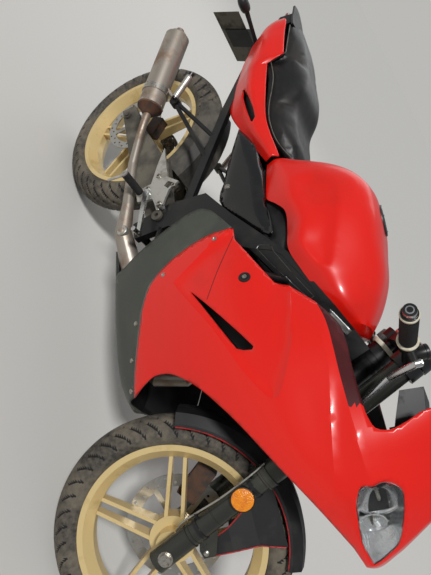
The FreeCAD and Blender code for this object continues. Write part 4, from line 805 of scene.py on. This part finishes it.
# Vacuum-aluminised plastic: mirror bright with a slight blue-grey tone
reflector = surface("aluminised_reflector", "#e3e5e6", "#c4c6c6", 0.3, 30, 0.2, 0.3, 3.0, 0.3, Metallic=0.85)
lens_ring = [on_cheek(*p) for p in dense(scaled(LAMP, 1.2) + scaled(LAMP, 1.2)[:1], 8)[:-1]]
lens_skin = panel(form_skin, lens_ring, [], [], lambda x, z: 0.5, 7)
for part in both("headlamp_lens", lens_skin[:2], "chassis", clear_lens):
    shell(part, 2.5, 0)
    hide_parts("headlamp")
rim = dense(scaled(LAMP, 1.5) + scaled(LAMP, 1.5)[:1], 8)[:-1]
mouth = [cheek_point(y, z, 5) for y, z in rim]
waist = [cheek_point(y, z, 5) + Vector((-46, 4, 0)) for y, z in scaled(rim, 6)]
back = [Vector((1318, y * 0.8 - 4, 800 + (z - 800) * 0.7)) for y, z in scaled(rim, 12)]
count = len(rim)
box_faces = [(row * count + i, row * count + (i + 1) % count, (row + 1) * count + (i + 1) % count, (row + 1) * count + i)
             for row in (0, 1) for i in range(count)] + [tuple(range(2 * count, 3 * count))]
for part in both("headlamp_box", (mouth + waist + back, box_faces), "chassis", reflector):
    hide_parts("headlamp")
bridge_rows = [[Vector((x, y, z)) for x, z in ((1322, 776), (1392, 776), (1392, 820), (1322, 826), (1322, 776))]
               for y in (-70, -35, 0, 35, 70)]
bridge = piece("headlamp_bridge", *skin_of(bridge_rows), "chassis", [black_plastic])
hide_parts("headlamp")
# The bowls' ribs are about 2.5 mm apart in the large bowl and 1.5 mm in the small one, so that they show
BOWLS = (((1376, -97, 808), 45, Vector((1, -0.55, 0.12))), ((1412, -55, 778), 27, Vector((1, -0.5, 0.1))))
bowls, bulbs = [], []
for centre, radius, axis in BOWLS:
    profile = []
    for k in range(33):
        r = radius * (1 - k / 36)
        profile.append((r, -radius * 0.85 * (1 - (r / radius) ** 2) + (0.7 if k % 2 else 0)))
    bowls.append(lathe([(radius + 3, -1), (radius + 3, 1), (radius, 1)] + profile, centre, axis, 48))
    bulbs.append(lathe([(0, 4), (2.5, 3), (3.6, -1), (3.6, -radius * 0.5), (6, -radius * 0.55), (6, -radius * 0.85)],
                       centre, axis, 20))
both("headlamp_bowls", joined(*bowls), "chassis", reflector)
both("headlamp_bulbs", joined(*bulbs), "chassis", zinc_steel)

# Tyres: road rubber moulded with slanting grooves on both shoulders and a plain middle rib, grey with dried
# mud and dust.
tyre_rubber = surface("dusty_tyre_rubber", "#2e2b27", "#5d564b", 0.5, 90, 0.75, 0.9, 1.6, 0.4)
tree = tyre_rubber.node_tree
shader = tree.nodes["Principled BSDF"]
place = add(tree, "ShaderNodeTexCoord").outputs["Object"]
# Dust: a thin film in 10 mm clouds over the patches, as the tread picks it up
clouds = add(tree, "ShaderNodeTexNoise", {"Scale": 90, "Detail": 5}, {"Vector": place})
dust = add(tree, "ShaderNodeMapRange", {"From Min": 0.35, "From Max": 0.75, "To Max": 0.45}, {"Value": clouds.outputs["Fac"]})
own = shader.inputs["Base Color"].links[0].from_socket
dusty = add(tree, "ShaderNodeMixRGB", {"Color2": linear("#7b7264"), "blend_type": "MIX"},
            {"Fac": dust.outputs["Result"], "Color1": own})
tree.links.new(dusty.outputs["Color"], shader.inputs["Base Color"])
FLANGE_R = 229.2


def tyre_form(centre, radius, half, rim_half, grooves, lean_way):
    """A tyre about a lateral axle: a round crown with grooves that slant back, and sidewalls to the rim's flanges."""
    turns = grooves * 8
    profile = [(FLANGE_R - 6, -rim_half + 6.4), (FLANGE_R, -rim_half + 1), (FLANGE_R + 4, -rim_half - 3)]
    for k in range(1, 36):
        a = pi * k / 36
        profile.append((radius - half + half * sin(a), -half * cos(a)))
    profile += [(FLANGE_R + 4, rim_half + 3), (FLANGE_R, rim_half - 1), (FLANGE_R - 6, rim_half - 6.4)]
    profile = [profile[0]] + [p for p in profile[1:-1] if p[0] >= FLANGE_R] + [profile[-1]]
    points, faces = [], []
    for i in range(turns):
        for r, y in profile:
            reach = abs(y) / half
            slant = (i / 8 + lean_way * reach * 2.2 + (0.5 if y > 0 else 0.0)) % 1.0
            deep = 5.0 if 0.18 < reach < 0.995 and r > radius - half - 2 and slant < 0.2 else 0.0
            a = 2 * pi * i / turns
            points.append(Vector((centre[0] + (r - deep) * cos(a), centre[1] + y, centre[2] + (r - deep) * sin(a))))
    wide = len(profile)
    marks = []
    for i in range(turns):
        j = (i + 1) % turns
        for k in range(wide - 1):
            faces.append((i * wide + k, j * wide + k, j * wide + k + 1, i * wide + k + 1))
            sunk = [hypot(points[n].x - centre[0], points[n].z - centre[2]) < profile[n % wide][0] - 1 for n in faces[-1]]
            marks.append(1 if sum(sunk) > 2 else 0)
    return points, faces, marks


FRONT_AXLE, REAR_AXLE = Vector((1355, 0, 296)), Vector((0, 0, 307))
front_points, front_faces, front_marks = tyre_form(FRONT_AXLE, 295.4, 49.8, 38, 42, 1)
rear_points, rear_faces, rear_marks = tyre_form(REAR_AXLE, 305.8, 64.6, 50, 40, 1)
# Faces sunk in the grooves take the near-black finish: painted shade inside the grooves
front_tyre = piece("front_tyre_tread", front_points, front_faces, "front_wheel", [tyre_rubber, rubber_and_groove_shade],
                   place=front, marks=front_marks, corner=50)
rear_tyre = piece("rear_tyre_tread", rear_points, rear_faces, "rear_wheel", [tyre_rubber, rubber_and_groove_shade],
                  marks=rear_marks, corner=50)
for tread, node in ((front_tyre, "front_tyre"), (rear_tyre, "rear_tyre")):
    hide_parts(node)

# Wheels: cast aluminium with five pairs of thin arms, turned on the flanges and sprayed champagne gold.
wheel_gold = surface("champagne_wheel_enamel", "#d8bf88", "#bfa46c", 0.25, 90, 0.36, 0.5, 1.0, 0.05,
                     Metallic=0.3, Coat_Weight=0.2)
dress(wheel_gold, "front_rim", "rear_rim")

# Brake discs, sprocket, axles and small steel: ground stainless with rings of wear, zinc and grease.
disc_steel = surface("ground_stainless_steel", "#b9b8b4", "#a39c94", 0.3, 50, 0.3, 0.42, 0.7, 0.03, Metallic=1.0)
dress(disc_steel, "front_disc", "rear_disc")
sprocket_steel = surface("greasy_sprocket_steel", "#5b5650", "#2c2825", 0.5, 12, 0.4, 0.7, 1.0, 0.1, Metallic=0.8)
dress(sprocket_steel, "rear_sprocket", "chain")
dress(zinc_steel, "front_axle")

# Calipers: cast iron bodies, unpainted and gone brown with rust.
rusty_iron = surface("rusted_cast_iron", "#2f2823", "#523a2c", 0.5, 30, 0.7, 0.88, 1.4, 0.4)
dress(rusty_iron, "front_caliper", "rear_caliper")

# Fork: cast sliders and tubes sprayed dark grey.
fork_grey = surface("dark_grey_fork_paint", "#3c3d38", "#4a4942", 0.3, 120, 0.24, 0.36, 1.4, 0.03, Metallic=0.5)
dress(fork_grey, "fork_leg_right", "fork_leg_left")

# Front mudguard: black polypropylene with the red of a respray left along its lower edges.
dress(black_plastic, "front_mudguard", "rear_mudguard", "dash")
hugger_grey = surface("dusty_black_polypropylene", "#3d3a36", "#5f5a51", 0.5, 90, 0.62, 0.82, 1.2, 0.15)
dress(hugger_grey, "hugger")
# Side covers: gloss black ABS triangles between the rails and the beams, each held by a bright dome screw.
gloss_cover = surface("gloss_black_abs", "#0d0d0e", "#171616", 0.25, 110, 0.2, 0.36, 1.5, 0.02, Coat_Weight=0.4)
COVER = [(304, 690), (367, 718), (478, 733), (601, 724), (716, 716), (686, 682), (642, 650), (598, 618), (556, 598),
         (480, 618), (400, 648)]
cover_line = COVER + COVER[:1]
cover_edge = dense(cover_line, 8)[:-1]


def cover_skin(x, z):
    """Flat in the middle, rounded over at its edge."""
    return Vector((x, -152.5 + 13 * exp(-away((x, z), cover_line) / 7), z))


moulded = panel(cover_skin, cover_edge, [], [], lambda x, z: 0.0, 8)
for cover in both("side_cover", moulded[:2], "chassis", gloss_cover):
    shell(cover, 3, 0)
    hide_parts("side_covers")
cover_screw = lathe([(0, 4.4), (3, 4.2), (6.4, 2.6), (7.5, 0), (8.5, 0), (8.5, -0.6)], (514, -152.6, 628), (0, -1, 0), 20)
both("side_cover_screw", cover_screw, "chassis", zinc_steel)

# Swingarm and rear frame: welded steel, grey and black paint, dull with road film.
arm_grey = surface("road_filmed_grey_paint", "#4b4740", "#6b655a", 0.45, 90, 0.55, 0.78, 1.2, 0.15, Metallic=0.2)
dress(arm_grey, "swingarm")
dress(satin_black_paint, "subframe", "passenger_footrests", "side_stand")

# Engine, radiator and shock.
cast_alloy = surface("sand_cast_engine_alloy", "#6a665f", "#4b463f", 0.45, 60, 0.55, 0.78, 1.0, 0.25, Metallic=0.6)
dress(cast_alloy, "engine")
dress(satin_black_paint, "radiator")
spring_yellow = surface("yellow_powder_coated_spring", "#d8a512", "#8c7434", 0.3, 16, 0.36, 0.6, 1.0, 0.05)
dress(spring_yellow, "rear_shock")

# Exhaust: mild steel with a brown bloom, rusting where the spray from the wheel lands.
exhaust_steel = surface("weathered_exhaust_steel", "#a49b90", "#8a7462", 0.35, 90, 0.42, 0.6, 1.2, 0.08, Metallic=0.7)
dress(exhaust_steel, "exhaust_chamber", "silencer")

# Controls.
grip_rubber = surface("black_grip_rubber", "#101010", "#211f1e", 0.3, 20, 0.7, 0.85, 2.4, 0.6)
dress(satin_black_paint, "handlebar_right", "handlebar_left")
polished_alloy = surface("polished_cast_aluminium", "#d4d5d5", "#b3b1ac", 0.3, 40, 0.24, 0.4, 0.7, 0.03, Metallic=1.0)
dress(polished_alloy, "brake_lever", "clutch_lever", "foot_pedals")
bare_cast = surface("bare_cast_aluminium", "#c6c4bd", "#a29c92", 0.35, 40, 0.4, 0.58, 0.9, 0.12, Metallic=0.8)
dress(bare_cast, "footrests")

# Fork fittings: amber reflectors in black cups, seal rings, top caps, the axle's hexagon, and the speed sensor's
# line, clipped along the back of the right leg down to the hub.
FORK_HALF = 98
FORK_LOWER_R, FORK_UPPER_R, FORK_SPLIT, FORK_TOP = 25, 28, 292, 732
STEER_UP = Vector((-sin(RAKE), 0, cos(RAKE)))


def on_leg(along, y=-FORK_HALF):
    """A point of the right fork leg's line, so far up from the axle."""
    return FRONT_AXLE + STEER_UP * along + Vector((0, y, 0))


# Amber acrylic with a prism grid of 3 mm moulded inside, under a polished face
amber = surface("amber_prism_acrylic", "#e98a0c", "#d87606", 0.5, 12, 0.18, 0.3, 1.2, 0.05, Coat_Weight=0.5)
prisms = amber.node_tree
grid = add(prisms, "ShaderNodeTexVoronoi", {"Scale": 330}, {"Vector": add(prisms, "ShaderNodeTexCoord").outputs["Object"]})
facets = add(prisms, "ShaderNodeBump", {"Strength": 0.7, "Distance": 0.0015},
             {"Height": grid.outputs["Distance"]})
prisms.links.new(facets.outputs["Normal"], prisms.nodes["Principled BSDF"].inputs["Normal"])
reflector_at = on_leg(219, -FORK_HALF - 34)
cup = lathe([(26.4, -9), (27.6, -6), (27.6, 1.4), (26.2, 2.2), (25.2, 1.0)], reflector_at, (0, -1, 0), 40)
both("reflector_cup", cup, "steering", black_plastic, place=front)
disc = lathe([(25.4, 0.6), (24.6, 1.6), (18, 2.3), (0, 2.6)], reflector_at, (0, -1, 0), 40)
both("reflector_disc", disc, "steering", amber, place=front)
rings = [lathe([(r, 0), (r + out, 0.8), (r + out, wide - 0.8), (r, wide)], on_leg(along), STEER_UP, 40)
         for along, r, out, wide in ((FORK_SPLIT - 14, 30, 1.6, 5), (FORK_SPLIT + 2, 30, 1.2, 4), (FORK_SPLIT + 52, 28, 2.4, 4),
                                     (FORK_SPLIT + 60, 28, 2.4, 4), (66, 26, 1.4, 4), (76, 25, 1.4, 3),
                                     (140, 25, 0.8, 3))]
for ring in both("fork_rings", joined(*rings), "steering", fork_grey, place=front):
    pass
cap = lathe([(25, 0), (25, 3), (22, 5), (14, 5), (13, 9), (0, 9.4)], on_leg(FORK_TOP - 1), STEER_UP, 24)
both("fork_top_cap", cap, "steering", polished_alloy, place=front)
axle_end = FRONT_AXLE + Vector((0, -FORK_HALF - 31.6, 0))
hexagon = lathe([(0, 1.4), (6, 1.4), (6.6, 3.2), (11.2, 3.2), (13.2, 1.6), (13.2, -5)], axle_end, (0, -1, 0), 6)
washer = lathe([(13, -4.6), (17, -4.6), (17, -6.4), (13, -6.4)], axle_end, (0, -1, 0), 28)
axle_bolt = piece("front_axle_bolt", *joined(hexagon, washer), "steering", [zinc_steel], place=front)
line_run = [on_leg(290, -112) + Vector((-30, 0, 0)), on_leg(250, -118) + Vector((-30, 0, 0)),
            on_leg(160, -116) + Vector((-32, 0, 0)), on_leg(95, -110) + Vector((-38, 0, 0)),
            on_leg(58, -100) + Vector((-38, 0, 0)), on_leg(30, -78) + Vector((-26, 0, 0))]
# Steel-braided hose under clear sleeving: pale grey with a fine glint
braid = surface("steel_braided_line", "#a7a59d", "#77736a", 0.4, 12, 0.35, 0.55, 0.8, 0.08, Metallic=0.7)
sensor_line = piece("speed_sensor_line", *sweep(dense([tuple(p) for p in line_run], 6), 2.4, 10), "steering", [braid],
                    place=front)
clips = [lathe([(FORK_LOWER_R + 0.4, 0), (FORK_LOWER_R + 2.2, 0), (FORK_LOWER_R + 2.2, 9), (FORK_LOWER_R + 0.4, 9)],
               on_leg(along), STEER_UP, 32) for along in (92, 246)]
tabs = [sweep([on_leg(along + 4.5, -104) + Vector((-18, 0, 0)), p + Vector((-1, 0, 0))], 4.2, 8)
        for along, p in ((92, line_run[3]), (246, line_run[1]))]
line_clips = piece("line_clips", *joined(*clips, *tabs), "steering", [satin_black_paint], place=front)

# Front mudguard's edges, where the red of an old respray shows through, and the screw through each arm.
red_overspray = surface("red_overspray_edge", "#a81a1c", "#6e1718", 0.45, 14, 0.5, 0.7, 1.2, 0.15)
GUARD_R, GUARD_Y = 276, 61.6
crown_edge = [FRONT_AXLE + Vector((GUARD_R * cos(a), -GUARD_Y, GUARD_R * sin(a)))
              for a in (radians(66 + 97 * k / 30) for k in range(31))]
arm_rear = [FRONT_AXLE + Vector(p) for p in ((-93, -61.6, 262), (-55, -61.8, 204), (-17, -72.6, 144), (11, -72.8, 80))]
arm_front = [FRONT_AXLE + Vector(p) for p in ((60, -61.6, 262), (43, -61.8, 204), (39, -72.6, 144), (37, -72.8, 80))]
red_edges = joined(sweep(crown_edge, 1.5, 6), sweep(arm_rear, 1.6, 6), sweep(arm_front, 1.6, 6),
                   sweep([arm_rear[-1], arm_front[-1]], 1.6, 6))
both("mudguard_red_edge", red_edges, "steering", red_overspray, place=front)
arm_screw = lathe([(0, 4.4), (4, 4), (6.6, 2), (7.2, -1)], FRONT_AXLE + Vector((24, -82.2, 84)), (0, -1, 0), 16)
both("mudguard_screw", arm_screw, "steering", zinc_steel, place=front)

# Handlebar ends: ribbed rubber grips between two cream nylon collars, turned alloy end weights, and the brake's
# master cylinder with the lever's pivot bolt.
BAR_END = Vector((942, -330, 893))
clamp = on_leg(679)
bar_way = (BAR_END - clamp).normalized()
sleeve = [(16.6, -124)] + [(17.2 + (0.9 if k % 2 else 0.0), -122 + 2.4 * k) for k in range(48)] + [(16.6, -6)]
both("grip_sleeve", lathe(sleeve, BAR_END, bar_way, 32), "steering", grip_rubber, place=front)
cream_nylon = surface("cream_nylon", "#d9d2bd", "#b9ae93", 0.35, 18, 0.42, 0.58, 1.0, 0.05)
collars = joined(lathe([(15, -127.6), (21.6, -127.6), (22.4, -126.4), (22.4, -123), (21.4, -121.6), (16, -121.4)],
                       BAR_END, bar_way, 36),
                 lathe([(15, -8.4), (18.2, -8.4), (18.7, -7.4), (18.7, -4.0), (18, -2.8), (13, -2.6)],
                       BAR_END, bar_way, 36))
both("grip_collars", collars, "steering", cream_nylon, place=front)
weight = lathe([(13.1, 0), (13.4, 1), (13.4, 11.5), (12.6, 13.6), (6, 14.2), (5, 11.5), (0, 11.5)], BAR_END, bar_way, 32)
both("bar_end_weight", weight, "steering", polished_alloy, place=front)
perch = BAR_END - bar_way * 143
cylinder = joined(lathe([(8.2, 0), (10.4, 1), (10.4, 36), (8.2, 37)], perch + Vector((2, 0, 0.3)), (44, 0, 6), 24),
                  lathe([(14, -2), (15, 0), (15, 20), (16.2, 21), (16.2, 26), (14, 28), (0, 28)],
                        perch + Vector((24, 6, 10)), (0, 0, 1), 28))
master = piece("brake_master_cylinder", *cylinder, "steering", [satin_black_paint], place=front)
pivot_bolt = lathe([(0, 4.4), (6.4, 4), (7.8, 2.6), (7.8, -1)], perch + Vector((40, -10, 13.6)), (0, 0, 1), 6)
lever_bolt = piece("brake_lever_bolt", *pivot_bolt, "steering", [zinc_steel], place=front)

# Steering head: a cream nylon dust ring on the head tube's top, and the bright nut on the stem.
HEAD_TOP = STEERING_FOOT + STEER_UP * (902 / cos(RAKE))
dust_ring = lathe([(30, -10.4), (36.4, -10.4), (37.2, -9), (37.2, -1.6), (36.2, 0.4), (30, 0.6)], HEAD_TOP, STEER_UP, 40)
head_ring = piece("head_dust_ring", *dust_ring, "chassis", [cream_nylon])
STEM_TOP = STEERING_FOOT + STEER_UP * (308.7 + 709 + 12)
nut = lathe([(19.3, 0.2), (19.6, 9), (17.4, 13), (10, 14.4), (9, 12.4), (0, 12.4)], STEM_TOP, STEER_UP, 36)
stem_nut = piece("stem_nut", *nut, "steering", [polished_alloy], place=front)

# Beam trim: the bare aluminium plate riveted to the right beam by the head, and the polished rim that shows
# round each beam's pressed pocket.
def on_node(node, x, z, lift=0.0):
    """Where a line across the upright machine first meets a node from its right side."""
    body = cad[node]
    back = machine.inverted()
    start, way = Vector((x, -420, z)), Vector((0, 1, 0))
    hit, point, normal, _ = body.ray_cast(machine @ start, (machine.to_3x3() @ way).normalized())
    if not hit:
        return None
    return back @ point + (back.to_3x3() @ normal).normalized() * lift


PLATE = ((950, 812), (1000, 842), (1006, 828), (956, 797))
plate_rows = []
for k in range(9):
    s = k / 8
    row = []
    for t in (0, 0.25, 0.5, 0.75, 1):
        x, z = ((1 - s) * ((1 - t) * PLATE[0][i] + t * PLATE[3][i]) + s * ((1 - t) * PLATE[1][i] + t * PLATE[2][i])
                for i in (0, 1))
        row.append(on_node("frame", x, z, 1.2))
    plate_rows.append(row)
if all(p is not None for row in plate_rows for p in row):
    bare = surface("bare_aluminium_plate", "#c9cac9", "#a6a7a6", 0.3, 25, 0.3, 0.42, 0.8, 0.03, Metallic=0.9)
    frame_plate = shell(piece("frame_plate", *skin_of(plate_rows, False), "chassis", [bare]), 0.8, 0)
POCKET_LINE = ((912, 784), (915, 772), (799, 703), (745, 676), (738, 684), (752, 715), (769, 717), (840, 748), (912, 784))
rim = [on_node("frame", x, z, 0.2) for x, z in straight(list(POCKET_LINE), 7)]
rim = [p for p in rim if p is not None]
both("pocket_rim", sweep(rim, 0.8, 6), "chassis",
     surface("rubbed_paint_edge", "#6a6a68", "#2c2c2c", 0.4, 30, 0.3, 0.45, 1.0, 0.02, Metallic=0.6))

# Exhaust trim: the clamp band on the can, the rusted cone before it, and the flanged joint under the engine.
CAN_FRONT, CAN_REAR = Vector((118, -196, 430)), Vector((-136, -212, 562))
can_way = (CAN_REAR - CAN_FRONT).normalized()
# Heat-scaled steel: red-brown rust over grey, dry and rough
rusted_steel = surface("heat_scaled_steel", "#6b4836", "#54423a", 0.5, 30, 0.7, 0.85, 1.2, 0.25, Metallic=0.3)
cone = lathe([(14, -24), (18.6, -22), (38.6, -0.4), (41.4, 0.2), (41.8, 5), (41.2, 6)], CAN_FRONT, can_way, 40)
can_cone = piece("silencer_cone", *cone, "chassis", [rusted_steel])
band = lathe([(43, 53), (44, 53.6), (44, 72.6), (43, 73.2)], CAN_FRONT, can_way, 40)
rivets = [lathe([(0, 1.6), (2.6, 1.2), (3.4, -0.4)], CAN_FRONT + can_way * 10 + around * 41, around, 12)
          for around in ((can_way.orthogonal().normalized() * cos(a)
                          + can_way.cross(can_way.orthogonal().normalized()) * sin(a)) for a in
                         (radians(36 * k) for k in range(10)))]
can_band = piece("silencer_band", *joined(band, *rivets), "chassis", [zinc_steel])
boss = lathe([(8, 8.4), (9, 9.4), (15, 9.4), (17, 7), (17, -6)], (528, -153, 289), (0, -1, 0), 32)
flange = piece("exhaust_flange", *boss, "chassis", [bare_cast])

# Pegs: cast alloy under ribbed rubber in front, serrated alloy behind.
peg_out, peg_in = Vector((404, -248, 356)), Vector((423, -152, 361))
ribs = [(11.2, 14)] + [(12.4 if k % 2 else 11.4, 16 + 3 * k) for k in range(26)] + [(10, 97), (0, 98.2)]
both("rider_peg_rubber", lathe(ribs, peg_in, peg_out - peg_in, 20), "chassis", grip_rubber)
teeth = [(10.2, 6)] + [(11.8 if k % 2 else 10.4, 10 + 4 * k) for k in range(20)] + [(9, 93), (0, 94)]
both("passenger_peg_teeth", lathe(teeth, (112, -186, 514), Vector((42, -192, 588)) - Vector((112, -186, 514)), 16),
     "chassis", bare_cast)
heel_bolts = [lathe([(3, 2.6), (3.6, 5), (6.6, 5), (7.4, 4), (7.4, -1)], p, (0, -1, 0), 18)
              for p in ((484, -160, 418), (412, -160, 384), (380, -160, 424), (438, -160, 470))]
both("heel_plate_bolts", joined(*heel_bolts), "chassis", zinc_steel)

# Number plate: pressed aluminium, bare and weathered at its back, with a blank pale reflective sheet in front.
dull_plate = surface("weathered_aluminium_plate", "#6a665b", "#4b473e", 0.4, 50, 0.5, 0.65, 1.0, 0.05, Metallic=0.6)
dress(dull_plate, "number_plate")
white_sheet = surface("pale_reflective_sheet", "#cfd0cb", "#b4b2a8", 0.35, 60, 0.4, 0.6, 1.0, 0.02)
plate_way = Vector((-cos(radians(36)), 0, sin(radians(36))))
plate_up = Vector((sin(radians(36)), 0, cos(radians(36))))
sheet_rows = [[Vector((-302, 0, 722)) + plate_way * 2.9 + plate_up * h + Vector((0, y, 0))
               for y in (-113, -60, 0, 60, 113)] for h in (-53, -25, 0, 25, 53)]
plate_sheet = shell(piece("number_plate_sheet", *skin_of(sheet_rows, False), "chassis", [white_sheet]), 0.8, 0)

# Rear indicators: round-ended black pods on rubber stalks, with an amber lens behind.
pod_rings = ((150, 16, 11), (154, 22, 15.5), (162, 24.4, 17.6), (180, 25, 18), (194, 21.5, 15.5), (202, 15, 11), (205.6, 7, 5))
pod_rows = [[Vector((-201 + rx * cos(a), -y, 800 + rz * sin(a))) for a in (radians(15 * k) for k in range(25))]
            for y, rx, rz in pod_rings]
stalk = sweep([(-165, -34, 788), (-175, -72, 791.5), (-186, -112, 796), (-197, -154, 800)], [8.4, 7.6, 7.2, 8.6], 14)
for pod in both("rear_indicator", joined(skin_of(pod_rows), stalk), "chassis", black_plastic, corner=50):
    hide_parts("rear_indicators")
lens_face = [[Vector((-201 - rx * cos(a) - 1.2, -y, 800 + rz * sin(a))) for a in (radians(-62 + 15.5 * k) for k in range(9))]
             for y, rx, rz in pod_rings[1:-1]]
both("indicator_lens", skin_of(lens_face, False), "chassis", amber)

# Floor and light: a plain pale floor under soft daylight, with a low soft sun on the camera's side and a
# weak large lamp from behind.
floor_mesh = bpy.data.meshes.new("floor")
floor_mesh.from_pydata([(-60, -60, 0), (60, -60, 0), (60, 60, 0), (-60, 60, 0)], [], [(0, 1, 2, 3)])
pale_floor = bpy.data.materials.new("pale_plain_floor")
pale_floor.use_nodes = True
floor_shader = pale_floor.node_tree.nodes["Principled BSDF"]
floor_shader.inputs["Base Color"].default_value = linear("#c9c7c2")
floor_shader.inputs["Roughness"].default_value = 0.9
floor_mesh.materials.append(pale_floor)
floor = bpy.data.objects.new("floor", floor_mesh)
bpy.context.scene.collection.objects.link(floor)

for name, kind, place, soft, power in (("key", "SUN", (0.9, -3.0, 3.6), radians(9), 2.5),
                                       ("fill", "AREA", (-3.0, 1.5, 3.0), 3.0, 30)):
    lamp = bpy.data.lights.new(name, kind)
    setattr(lamp, "angle" if kind == "SUN" else "size", soft)
    lamp.energy = power
    light = bpy.data.objects.new(name, lamp)
    bpy.context.scene.collection.objects.link(light)
    light.location = place
    light.rotation_euler = (Vector((0, 0, 0.4)) - Vector(place)).to_track_quat("-Z", "Y").to_euler()

world = bpy.data.worlds.new("daylight")
world.use_nodes = True
world.node_tree.nodes["Background"].inputs["Color"].default_value = (0.9, 0.93, 0.96, 1)
world.node_tree.nodes["Background"].inputs["Strength"].default_value = 0.3
# The camera sees the floor's own colour above its far edge
sight = add(world.node_tree, "ShaderNodeLightPath")
seen = add(world.node_tree, "ShaderNodeBackground", {"Color": linear("#bab9b5"), "Strength": 1.0})
sky = world.node_tree.nodes["Background"]
split = add(world.node_tree, "ShaderNodeMixShader", {}, {"Fac": sight.outputs["Is Camera Ray"]})
world.node_tree.links.new(sky.outputs["Background"], split.inputs[1])
world.node_tree.links.new(seen.outputs["Background"], split.inputs[2])
world.node_tree.links.new(split.outputs["Shader"], world.node_tree.nodes["World Output"].inputs["Surface"])
bpy.context.scene.world = world
bpy.context.scene.view_settings.view_transform = "Standard"
